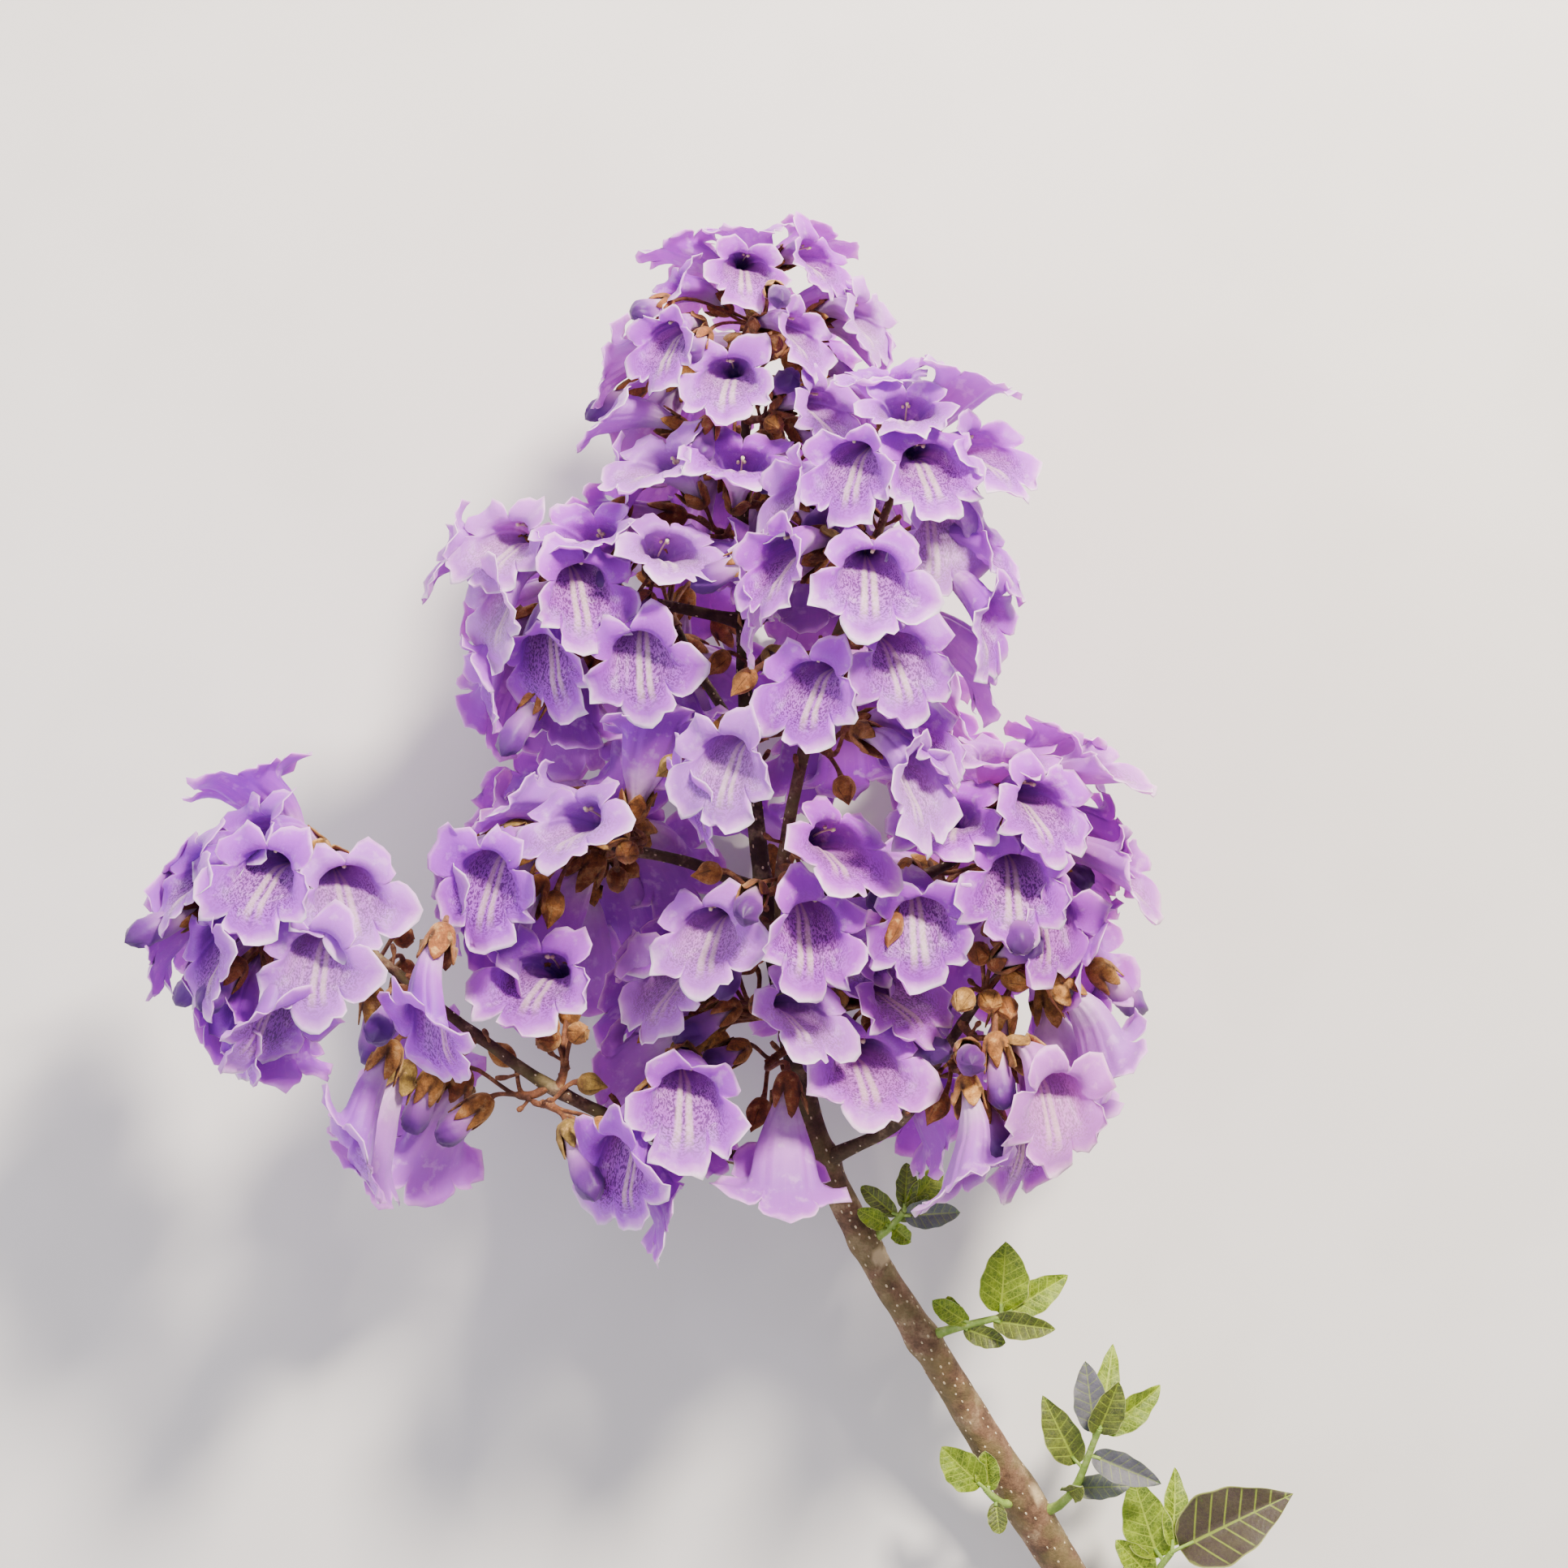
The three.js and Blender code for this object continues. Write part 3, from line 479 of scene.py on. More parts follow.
def hangingWays(flower):
    h, direction, isBud = hanging, flower["direction"], flower["isBud"]
    sink = h["sink"] + h["sinkSpread"] * (chance(flower["seed"] * 37) - 0.5)
    sink = h["budSink"] if isBud else sink * (1 - h["sideways"] * abs(direction[0]))
    nod = 0 if isBud or direction[2] < h["lowest"] else h["nod"] * max(0, direction[1])
    pivot = (h["budPivot"] if isBud else h["pivot"]) * flower["size"]
    middle = flower["foot"] + direction * pivot
    ways = []
    for share in h["shares"]:
        sunk = unit(direction + (towardsEye * nod - upTheShoot * sink) * share)
        for parting in h["partings"]:
            for k in range(h["turns"] if parting else 1):
                way = lean(sunk, parting, k * 2 * math.pi / h["turns"])
                ways.append([middle - way * pivot, way, 1 - share + h["parting"] * parting])
    return ways


def hang(flower, places, owners, areFlowers):
    h, isBud, size = hanging, flower["isBud"], flower["size"]
    near = ((places[:, :3] - flower["foot"]) ** 2).sum(1) < h["nearest"] ** 2
    near[flower["balls"]] = False
    near &= areFlowers | (owners != flower["owner"])
    others = places[near]
    weights = np.where(areFlowers[near], h["crowding"], h["limbCrowding"])
    ways = hangingWays(flower)
    balls = np.array([flowerBalls(isBud, foot, way, size) for foot, way, _ in ways])
    gaps = np.sqrt(((balls[:, :, None, :3] - others[None, None, :, :3]) ** 2).sum(3))
    crowding = np.maximum(0, 1 - gaps / ((balls[:, :, None, 3] + others[None, None, :, 3]) * h["room"])) ** 2
    crowding = (crowding * weights).sum((1, 2))
    costs = crowding + np.array([cost for _, _, cost in ways])
    costs += h["belowFloor"] * ((balls[:, :, 2] - balls[:, :, 3]).min(1) < growth["floorDepth"])
    costs += h["hiding"] * hiddenPlaces(balls)
    best = int(np.argmin(costs))
    places[flower["balls"]] = balls[best]
    flower["hung"] = ways[best][:2]
    flower["isCrowded"] = crowding[best] >= (h["budMost"] if isBud else h["bloomMost"])


def hangAll(stalks):
    places = np.array(taken["ball"])
    owners, areFlowers = np.array(taken["owner"]), np.array(taken["isFlower"])
    flowers = [flower for _, stalk in stalks for flower in stalk["flowers"]]
    flowers.sort(key=lambda flower: flower["foot"][1])
    for _ in range(hanging["rounds"]):
        for flower in flowers:
            hang(flower, places, owners, areFlowers)
    for flower in flowers:
        flower["foot"], flower["direction"] = flower["hung"]
    for _, stalk in stalks:
        stalk["flowers"] = [each for each in stalk["flowers"] if not (each["isExtra"] and each["isCrowded"])]
    print("taken out again:", len(flowers) - sum(len(stalk["flowers"]) for _, stalk in stalks))


def layOut():
    placeLimbs()
    leafy = [placeLeafTwig(f"{name}_leaf_twig", *row) for name, row in leafTwigs.items()]
    rows = [(limbName, f"{name}_cyme", *row) for limbName, named in cymes for name, row in named.items()]
    flowering = [placeStalks(number, *row) for number, row in enumerate(rows)]
    stalks = [(cyme, stalk) for cyme in flowering for stalk in cyme["stalks"]]
    missed, seed = [], 1
    for cyme, stalk in stalks:
        for k in range(stalk["blooms"] + stalk["buds"]):
            seed += 1
            if not placeFlower(cyme, stalk, k, seed, plannedSearch):
                missed.append([cyme, stalk, k, seed])
    print("flowers as the solids have them:", seed - 1 - len(missed))
    print("placed closer:", sum(placeFlower(*flower, closerSearch) for flower in missed))
    extra = 0
    for search, ofBlooms, ofBuds in extraRounds:
        for cyme, stalk in stalks:
            seed += 1
            if stalk["blooms"] and not cyme["isAiry"]:
                k = ofBlooms * stalk["blooms"] + ofBuds * stalk["buds"]
                extra += placeFlower(cyme, stalk, k, seed, search)
    print("extra flowers:", extra)
    hangAll(stalks)
    return leafy, flowering


leafy, flowering = layOut()


def fill(node, inputs):
    for key, value in inputs.items():
        if isinstance(value, bpy.types.NodeSocket):
            node.id_data.links.new(value, node.inputs[key])
        else:
            node.inputs[key].default_value = value


# Nodes of a shader or a Geometry Nodes tree: inputs are values or other nodes' sockets
def put(tree, kind, inputs=None, **settings):
    node = tree.nodes.new(kind)
    for name, value in settings.items():
        setattr(node, name, value)
    fill(node, inputs or {})
    return node


def colour(code):
    parts = [int(code[k:k + 2], 16) / 255 for k in (0, 2, 4)]
    return *(c / 12.92 if c <= 0.04045 else ((c + 0.055) / 1.055) ** 2.4 for c in parts), 1


def calc(tree, operation, a, b=0.0, clamp=False):
    return put(tree, "ShaderNodeMath", {0: a, 1: b}, operation=operation, use_clamp=clamp).outputs[0]


def times(tree, first, *others):
    for other in others:
        first = calc(tree, "MULTIPLY", first, other)
    return first


def mix(tree, amount, a, b, how="MIX"):
    a, b = (colour(c) if isinstance(c, str) else c for c in (a, b))
    return put(tree, "ShaderNodeMix", {0: amount, 6: a, 7: b}, data_type="RGBA", blend_type=how).outputs[2]


# From one value to another, as smooth as a hill
def fade(tree, value, low, high, lowTo=0.0, highTo=1.0):
    inputs = {"Value": value, "From Min": low, "From Max": high, "To Min": lowTo, "To Max": highTo}
    return put(tree, "ShaderNodeMapRange", inputs, interpolation_type="SMOOTHSTEP").outputs[0]


def ramp(tree, amount, stops):
    node = put(tree, "ShaderNodeValToRGB", {0: amount})
    for spare in list(node.color_ramp.elements)[1:]:
        node.color_ramp.elements.remove(spare)
    for k, (place, code) in enumerate(stops):
        element = node.color_ramp.elements[0] if k == 0 else node.color_ramp.elements.new(place)
        element.position, element.color = place, colour(code)
    return node.outputs[0]


def stretch(tree, vector, by, shift=(0, 0, 0)):
    inputs = {0: vector, 1: by, 2: shift}
    return put(tree, "ShaderNodeVectorMath", inputs, operation="MULTIPLY_ADD").outputs[0]


# What each point of a piece keeps: a single value, or the place on its own form, whole and in parts
def kept(tree, *names):
    return [put(tree, "ShaderNodeAttribute", attribute_name=name).outputs["Fac"] for name in names]


def formPlace(tree):
    place = put(tree, "ShaderNodeAttribute", attribute_name="place").outputs["Vector"]
    return place, *put(tree, "ShaderNodeSeparateXYZ", {0: place}).outputs


def noiseAt(tree, place, scale, detail=2.0, roughness=0.5):
    inputs = {"Vector": place, "Scale": scale, "Detail": detail, "Roughness": roughness}
    return put(tree, "ShaderNodeTexNoise", inputs).outputs[0]


def addSockets(tree, direction, sockets):
    for name, kind in sockets.items():
        tree.interface.new_socket(name, in_out=direction, socket_type=f"NodeSocket{kind}")


def makeGroup(name, inputs, outputs):
    group = bpy.data.node_groups.new(name, "ShaderNodeTree")
    addSockets(group, "INPUT", inputs)
    addSockets(group, "OUTPUT", outputs)
    return group, put(group, "NodeGroupInput").outputs, put(group, "NodeGroupOutput")


# Patches of lighter and darker colour, with fine grain in them
def makeMottle():
    group, given, result = makeGroup("mottle", {
        "Colour": "Color", "Dark": "Color", "Light": "Color", "Place": "Vector",
        "Patches": "Float", "Grain": "Float", "Amount": "Float",
    }, {"Colour": "Color"})
    patches = noiseAt(group, given["Place"], given["Patches"], 3.0, 0.6)
    grain = noiseAt(group, given["Place"], given["Grain"], 2.0, 0.6)
    darker, lighter, speck = (
        times(group, fade(group, value, low, high), given["Amount"], most)
        for value, low, high, most in (
            (patches, 0.52, 0.36, 1.0), (patches, 0.52, 0.68, 1.0), (grain, 0.55, 0.38, 0.6),
        )
    )
    mottled = mix(group, lighter, mix(group, darker, given["Colour"], given["Dark"]), given["Light"])
    fill(result, {"Colour": mix(group, speck, mottled, given["Dark"])})
    return group


# The lie of short hairs or of fine wrinkles: a normal
def makeNap():
    group, given, result = makeGroup("nap", {
        "Place": "Vector", "Fine": "Float", "Coarse": "Float", "Height": "Float", "Strength": "Float",
    }, {"Normal": "Vector"})
    fine = noiseAt(group, given["Place"], given["Fine"], 2.0, 0.6)
    coarse = noiseAt(group, given["Place"], given["Coarse"])
    height = calc(group, "ADD", times(group, fine, 0.4), coarse)
    bump = put(group, "ShaderNodeBump", {
        "Height": height, "Distance": given["Height"], "Strength": given["Strength"],
    })
    fill(result, {"Normal": bump.outputs[0]})
    return group


mottle, nap = makeMottle(), makeNap()


def newMaterial(name):
    material = bpy.data.materials.new(name)
    material.use_nodes = True
    tree = material.node_tree
    return material, tree, tree.nodes["Principled BSDF"], put(tree, "ShaderNodeTexCoord").outputs["Object"]


# The base colour, its dark and its light, in patches of the scale given and grain that is finer
def mottled(tree, where, colours, patches, grain, amount):
    base, dark, light = (colour(c) if isinstance(c, str) else c for c in colours)
    return put(tree, "ShaderNodeGroup", {
        "Colour": base, "Dark": dark, "Light": light, "Place": where,
        "Patches": patches, "Grain": grain, "Amount": amount,
    }, node_tree=mottle).outputs[0]


# Every finish ends alike: its colour, its roughness and the nap that lies over it, and what else it has
def finish(shader, where, surface, look):
    inputs = {"Place": where, **dict(zip(("Fine", "Coarse", "Height", "Strength"), look["nap"]))}
    normal = put(shader.id_data, "ShaderNodeGroup", inputs, node_tree=nap).outputs[0]
    inputs = {"Base Color": surface, "Roughness": look["roughness"], "Normal": normal}
    fill(shader, {**inputs, **look.get("more", {})})


# Petals: the stops run from the foot of the tube, over its mouth at 0.6, to the rim of the lobes at 1.
# What fades does so between the first two values given, and from the third to the fourth in strength.
petalLook = {
    "outer": [
        [0, "f2e8d8"], [0.16, "e2c4e0"], [0.36, "b45cd4"], [0.56, "8e26bc"], [0.76, "982cc6"],
        [0.92, "b046dc"], [1, "e6a8f5"],
    ],
    "inner": [
        [0.1, "6428a0"], [0.34, "7e38b0"], [0.5, "9030bc"], [0.64, "962cc4"], [0.84, "a634d4"],
        [0.95, "bc50e8"], [1, "f0bcfa"],
    ],
    "lowerLip": [
        [0.15, "9c5cb6"], [0.42, "b272c6"], [0.58, "aa5ac8"], [0.74, "a442d0"], [0.88, "b24ede"],
        [0.95, "dc9af0"], [1, "fff2ff"],
    ],
    "bud": [[0.2, "e6d2da"], [0.42, "ab74ba"], [0.65, "682c88"], [0.95, "4c2066"]],
    # tints: the bloom's own hue, over which painted light runs across the shoot: cooler violet towards the
    # shaded left, warmer pink towards the sunlit right
    "tints": [[0, "eccbff"], [0.5, "fdecff"], [1, "ffc6e6"]],
    "speckle": "4c1a60", "ridge": "efe2c6", "stamen": "e0d4a2", "pale": "f6e0f6", "deep": "a03cc4",
    "vein": "b95bcf", "low": [0.25, -0.35], "streaks": (16, 16, 1.4),
    "veins": [0.56, 0.7], "veinsAlong": [0.98, 0.5, 0.1, 0.4],
    "patches": 170.0, "deepPatches": [0.5, 0.68, 0.0, 0.3], "palePatches": [0.46, 0.3, 0.0, 0.25],
    "grain": (16, 16, 60), "dots": [0.47, 0.56, 0.0, 0.85], "dotsBegin": [0.2, 0.42], "dotsEnd": [0.92, 0.7],
    "dotsLow": [0.2, -0.4, 0.2], "ridgeAt": 0.13, "ridgeWidth": [0.12, 0.03, 0.0, 0.55],
    "ridgeEnd": [0.84, 0.6], "paleness": 0.26, "stamenFrom": [1.1, 1.2], "roughness": 0.5,
    "nap": [1800.0, 420.0, 0.0004, 0.35],
    "more": {
        "Subsurface Weight": 0.55, "Subsurface Radius": (1.0, 0.55, 1.0), "Subsurface Scale": 0.0018,
        "Sheen Weight": 0.12, "Sheen Roughness": 0.5, "Specular IOR Level": 0.35,
    },
}


def makePetal(look):
    material, tree, shader, where = newMaterial("petal")
    place, across, height, v = formPlace(tree)
    inner, bud, tint, pale = kept(tree, "inner", "bud", "tint", "pale")
    low = fade(tree, height, *look["low"])
    inside = mix(tree, low, ramp(tree, v, look["inner"]), ramp(tree, v, look["lowerLip"]))
    surface = mix(tree, inner, ramp(tree, v, look["outer"]), inside)

    vein = noiseAt(tree, stretch(tree, place, look["streaks"]), 1.0, 3.0, 0.6)
    veinAmount = times(tree, fade(tree, vein, *look["veins"]), fade(tree, v, *look["veinsAlong"]))
    surface = mix(tree, veinAmount, surface, look["vein"])
    patches = noiseAt(tree, where, look["patches"], 3.0, 0.6)
    surface = mix(tree, fade(tree, patches, *look["deepPatches"]), surface, look["deep"])
    surface = mix(tree, fade(tree, patches, *look["palePatches"]), surface, look["pale"])

    shifted = put(tree, "ShaderNodeVectorMath", {0: tint, "Scale": 9.0}, operation="SCALE").outputs[0]
    dots = fade(tree, noiseAt(tree, stretch(tree, place, look["grain"], shifted), 1.0, 1.0), *look["dots"])
    throat = times(tree, fade(tree, v, *look["dotsBegin"]), fade(tree, v, *look["dotsEnd"]), inner)
    dotted = times(tree, dots, throat, fade(tree, height, *look["dotsLow"]))
    surface = mix(tree, dotted, surface, look["speckle"])
    fromRidge = calc(tree, "SUBTRACT", calc(tree, "ABSOLUTE", across), look["ridgeAt"])
    ridge = fade(tree, calc(tree, "ABSOLUTE", fromRidge), *look["ridgeWidth"])
    ridge = times(tree, ridge, low, inner, fade(tree, v, *look["ridgeEnd"]))
    surface = mix(tree, ridge, surface, look["ridge"])

    surface = mix(tree, times(tree, pale, look["paleness"]), surface, look["pale"])
    surface = mix(tree, bud, surface, ramp(tree, v, look["bud"]))
    # The tint multiplies in: the bloom's own hue, and painted light that is warmer on the sunlit right and
    # cooler on the shaded left
    surface = mix(tree, 1.0, surface, ramp(tree, tint, look["tints"]), "MULTIPLY")
    surface = mix(tree, fade(tree, v, *look["stamenFrom"]), surface, look["stamen"])
    finish(shader, where, surface, look)
    return material


# Calyces and closed buds, felted golden to rusty brown, some of them olive. The first part of place is
# how near an edge or a seam is.
feltLook = {
    "gold": "b47c38", "rust": "905426", "olive": "82722f", "dark": "3a200d", "light": "dcae6a",
    "inside": "86602f", "rusty": [0.35, 0.75], "olives": [0.2, 0.05, 0.0, 0.8],
    "footRust": [0.4, 0.0, 0.0, 0.35],
    "seam": [0.6, 0.95], "seamAlong": [0.25, 0.45, 0.0, 0.85], "mottle": [260.0, 1900.0, 0.55],
    "roughness": 0.85, "nap": [3200.0, 900.0, 0.0005, 0.6],
    "more": {"Sheen Weight": 0.4, "Sheen Roughness": 0.4, "Sheen Tint": colour("f0cf94")},
}


def makeFelt(look):
    material, tree, shader, where = newMaterial("calyx_felt")
    _, edge, _, v = formPlace(tree)
    inner, tint = kept(tree, "inner", "tint")
    base = mix(tree, fade(tree, tint, *look["rusty"]), look["gold"], look["rust"])
    base = mix(tree, fade(tree, tint, *look["olives"]), base, look["olive"])
    base = mix(tree, fade(tree, v, *look["footRust"]), base, look["rust"])
    seam = times(tree, fade(tree, edge, *look["seam"]), fade(tree, v, *look["seamAlong"]))
    base = mix(tree, inner, mix(tree, seam, base, look["dark"]), look["inside"])
    surface = mottled(tree, where, [base, look["dark"], look["light"]], *look["mottle"])
    finish(shader, where, surface, look)
    return material


# Bark: the stops run from dark umber, painted shade where the bark lies in the shade of the flower cluster,
# to the tan of the older wood
barkLook = {
    "tones": [[0, "33221e"], [0.35, "50382e"], [0.65, "6c4e3a"], [1, "80624a"]],
    "dark": "2a1b16", "light": "b39b78", "green": "6f6a3e", "scar": "c2ab86", "mottle": [130.0, 1100.0, 0.5],
    "greenPatches": 90.0, "greens": [0.4, 0.6], "roughness": 0.7, "nap": [2400.0, 600.0, 0.0006, 0.7],
    "more": {"Specular IOR Level": 0.3},
}


def makeBark(look):
    material, tree, shader, where = newMaterial("bark")
    woodAndShade, scar, green = kept(tree, "woodAndShade", "scar", "green")
    colours = [ramp(tree, woodAndShade, look["tones"]), look["dark"], look["light"]]
    surface = mottled(tree, where, colours, *look["mottle"])
    greened = times(tree, green, fade(tree, noiseAt(tree, where, look["greenPatches"]), *look["greens"]))
    surface = mix(tree, scar, mix(tree, greened, surface, look["green"]), look["scar"])
    finish(shader, where, surface, look)
    return material


# Leaves: place holds across (-1 to 1), the count of side veins so far, and how many midribs' widths from
# the middle
leafLook = {
    "blade": "6c8400", "dark": "3a5204", "light": "98b000", "vein": "a4b634", "edge": "bcc46a",
    "under": "86996a", "young": "605c74", "brown": "38222a", "brownVein": "869a2a",
    "sideVein": [0.09, 0.02], "veinsAcross": [1.0, 0.8, 0.0, 0.85], "midrib": [1.6, 0.5], "veinStrength": 0.8,
    "net": 620.0, "netLines": [0.09, 0.02, 0.0, 0.45], "edges": [0.93, 1.0, 0.0, 0.6],
    "underFrom": [0.9, 0.95], "downy": 0.85, "downOffVeins": 0.3, "mottle": [240.0, 1300.0, 0.6],
    "roughness": 0.55, "nap": [2600.0, 700.0, 0.0004, 0.5],
    "more": {
        "Subsurface Weight": 0.2, "Subsurface Radius": (0.6, 1.0, 0.2), "Subsurface Scale": 0.001,
        "Sheen Weight": 0.06, "Sheen Roughness": 0.4, "Sheen Tint": colour("e6ecc8"),
    },
}


def makeLeaf(look):
    material, tree, shader, where = newMaterial("leaf")
    _, across, veinCount, fromMidrib = formPlace(tree)
    under, brown = kept(tree, "under", "brown")
    across, fromMidrib = (calc(tree, "ABSOLUTE", value) for value in (across, fromMidrib))
    fromVein = calc(tree, "ABSOLUTE", calc(tree, "SUBTRACT", calc(tree, "FRACT", veinCount), 0.5))
    sideVein = times(tree, fade(tree, fromVein, *look["sideVein"]), fade(tree, across, *look["veinsAcross"]))
    vein = calc(tree, "MAXIMUM", sideVein, fade(tree, fromMidrib, *look["midrib"]))
    blade = mottled(tree, where, [look["blade"], look["dark"], look["light"]], *look["mottle"])
    inputs = {"Vector": where, "Scale": look["net"]}
    net = put(tree, "ShaderNodeTexVoronoi", inputs, feature="DISTANCE_TO_EDGE")
    blade = mix(tree, fade(tree, net.outputs[0], *look["netLines"]), blade, look["vein"])
    blade = mix(tree, brown, blade, look["brown"])
    veinColour = mix(tree, brown, look["vein"], look["brownVein"])
    blade = mix(tree, times(tree, vein, look["veinStrength"]), blade, veinColour)
    blade = mix(tree, fade(tree, across, *look["edges"]), blade, look["edge"])
    down = mix(tree, fade(tree, under, *look["underFrom"]), look["young"], look["under"])
    offVeins = times(tree, vein, look["downOffVeins"])
    downy = calc(tree, "SUBTRACT", times(tree, under, look["downy"]), offVeins, True)
    finish(shader, where, mix(tree, downy, blade, down), look)
    return material


# The cut across the foot: out is how far from the pith, 0 to 1
cutLook = {
    "rings": [
        [0, "8a6f48"], [0.16, "a3875c"], [0.2, "e4d8b2"], [0.78, "dccc9c"],
        [0.84, "93984f"], [0.93, "6a4c34"],
    ],
    "ray": "a58a5c", "rayPatches": 900.0, "rays": [0.62, 0.4, 0.0, 0.35],
    "roughness": 0.7, "nap": [3000.0, 1200.0, 0.0003, 0.5],
}


def makeCutWood(look):
    material, tree, shader, where = newMaterial("cut_wood")
    rings = ramp(tree, kept(tree, "out")[0], look["rings"])
    rays = fade(tree, noiseAt(tree, where, look["rayPatches"], 3.0), *look["rays"])
    finish(shader, where, mix(tree, rays, rings, look["ray"]), look)
    return material


# Plain finishes: the flower stalks' rusty down, cork, green stems and the pale floor
plainLooks = {
    "stalk_bark": {
        "colours": ["7b4a2c", "3f2315", "b58556"], "mottle": [220.0, 1500.0, 0.7],
        "roughness": 0.75, "nap": [3000.0, 1000.0, 0.0004, 0.6],
        "more": {"Sheen Weight": 0.25, "Sheen Tint": colour("d9a870")},
    },
    "lenticel_cork": {
        "colours": ["d6c4a0", "a48a66", "efe4c8"], "mottle": [400.0, 2400.0, 0.5],
        "roughness": 0.8, "nap": [3600.0, 1200.0, 0.0003, 0.5],
    },
    "green_stem": {
        "colours": ["8fae48", "66862c", "bfd07c"], "mottle": [260.0, 1560.0, 0.5],
        "roughness": 0.6, "nap": [2340.0, 780.0, 0.0003, 0.5],
    },
    "pale_floor": {
        "colours": ["e6e4e1", "dcdad6", "efeeec"], "mottle": [2.0, 12.0, 0.5],
        "roughness": 0.9, "nap": [18.0, 6.0, 0.0002, 0.5],
    },
}


def makePlain(name, look):
    material, tree, shader, where = newMaterial(name)
    finish(shader, where, mottled(tree, where, look["colours"], *look["mottle"]), look)
    return material


petalMaterial, feltMaterial, barkMaterial = makePetal(petalLook), makeFelt(feltLook), makeBark(barkLook)
leafMaterial, cutMaterial = makeLeaf(leafLook), makeCutWood(cutLook)
plain = {name: makePlain(name, look) for name, look in plainLooks.items()}
print("materials made")


def makeObject(name, points, faces, values=None, material=None):
    mesh = bpy.data.meshes.new(name)
    mesh.from_pydata(np.asarray(points, float).tolist(), [], faces)
    for key, value in (values or {}).items():
        value = np.asarray(value, np.float32)
        kind, field = ("FLOAT_VECTOR", "vector") if value.ndim == 2 else ("FLOAT", "value")
        mesh.attributes.new(key, kind, "POINT").data.foreach_set(field, value.ravel())
    mesh.polygons.foreach_set("use_smooth", [True] * len(mesh.polygons))
    if material:
        mesh.materials.append(material)
    return bpy.data.objects.new(name, mesh)


# Faces of a grid of rows that each close on themselves
def roundFaces(rows, columns, first=0, flip=False):
    faces = []
    for r in range(rows - 1):
        for c in range(columns):
            a, b = first + r * columns + c, first + r * columns + (c + 1) % columns
            faces.append((a, a + columns, b + columns, b) if flip else (a, b, b + columns, a + columns))
    return faces


def fan(middle, first, columns, flip=False):
    ends = [(first + c, first + (c + 1) % columns) for c in range(columns)]
    return [(middle, b, a) if flip else (middle, a, b) for a, b in ends]


# The same with both ends closed by a fan; their middles are the last two points
def closedFaces(rows, columns, first=0, flip=False):
    count = first + rows * columns
    ends = fan(count, first, columns, not flip) + fan(count + 1, count - columns, columns, flip)
    return roundFaces(rows, columns, first, flip) + ends


# A cup with a wall: its outer skin, the inner skin that follows it, and the rim that joins them
def makeCup(outer, thickness):
    rows, columns, _ = outer.shape
    acrossWay = np.roll(outer, -1, 1) - np.roll(outer, 1, 1)
    normal = np.cross(acrossWay, np.gradient(outer, axis=0))
    normal /= np.maximum(np.linalg.norm(normal, axis=2, keepdims=True), 1e-9)
    inner = outer - normal * np.asarray(thickness).reshape(-1, 1, 1)
    skin = rows * columns
    middles = [outer[0].mean(0), inner[0].mean(0)]
    points = np.concatenate([outer.reshape(-1, 3), inner.reshape(-1, 3), middles])
    faces = roundFaces(rows, columns) + roundFaces(rows, columns, skin, True)
    last = skin - columns
    for c in range(columns):
        n = (c + 1) % columns
        faces.append((last + c, last + n, skin + last + n, skin + last + c))
    faces += fan(2 * skin, 0, columns, True) + fan(2 * skin + 1, skin, columns)
    isInner = np.concatenate([np.zeros(skin), np.ones(skin), [0, 1]])
    return points, faces, isInner


# The place on the form that each point of a cup keeps: alike on both skins, and at the two middles
def cupPlace(x, y, v, footV=0.0):
    skin = np.stack(np.broadcast_arrays(x, y, v), axis=2).reshape(-1, 3)
    return np.concatenate([skin, skin, [[0, 0, 0], [0, 0, footV]]])


# The columns round a form of five lobes: the lobe of each, how far across it from -1 to 1, and its turn
def lobeColumns(perLobe, isPacked=False):
    k = np.arange(perLobe * 5)
    lobe, across = k // perLobe, 2 * (k % perLobe) / perLobe - 1
    across = np.sin(np.pi / 2 * across) if isPacked else across
    return lobe, across, 126 + 72 * lobe + 36 * across


# A bloom's corolla: a flattened tube that widens to its throat, and five lobes in two lips. The two upper
# lobes stand up and back over a short roof, the other three spread from the longer floor as an apron.
# Each lobe: its length, how far it bends away from the tube, and within what length it has bent.
corolla = {
    "columnsPerLobe": 12, "tubeRows": 8, "lobeRows": 7, "wall": 0.3, "foot": 1.5, "vAtMouth": 0.6,
    "tube": [[2, 2.1], [7, 2.7], [12, 4.0], [18, 6.0], [26, 7.9], [34, 9.2], [40, 9.9], [46, 10.3]],
    "mouth": 35.5, "lead": 8.5, "width": 1.22, "height": 0.66, "square": [0.86, 0.6], "flare": 12,
    "lobes": [[12.5, 122, 7], [13.5, 62, 10], [16, 36, 14], [13.5, 62, 10], [12.5, 122, 7]],
    "lengthSpread": 0.1, "bendSpread": 13, "notches": [2.6, 5.5, 7, 5.5, 2.6], "outline": [1.9, 0.58],
    "ridgeTurn": 9.3, "ridgeWidth": 5, "ridges": 0.95, "foldWidth": 0.25, "folds": 0.55, "creases": 0.24,
    "droop": 16, "rolls": [[-50, 20], [20, 110], [60, 150], [20, 110], [-50, 20]], "rollFrom": [0.74, 0.22],
    "twist": 1.6, "cup": [-2.2, 1.5], "frill": 0.05, "ruffle": 1.5, "crinkle": 0.85, "lobeStep": 1.35,
    "lumps": [0.15, 0.3, 0.95], "wrinkles": [0.42, 0.12, 0.34], "bendsBetween": [6, 34], "heelTurn": 0.3,
    "variants": [
        [1, 46], [0.9, 42], [1.05, 38], [0.75, 36], [1.12, 33], [1, 28], [0.94, 24], [0.6, 22], [1.08, 18],
        [0.86, 14],
    ],
}


def smooth(x):
    x = np.clip(x, 0, 1)
    return x * x * (3 - 2 * x)


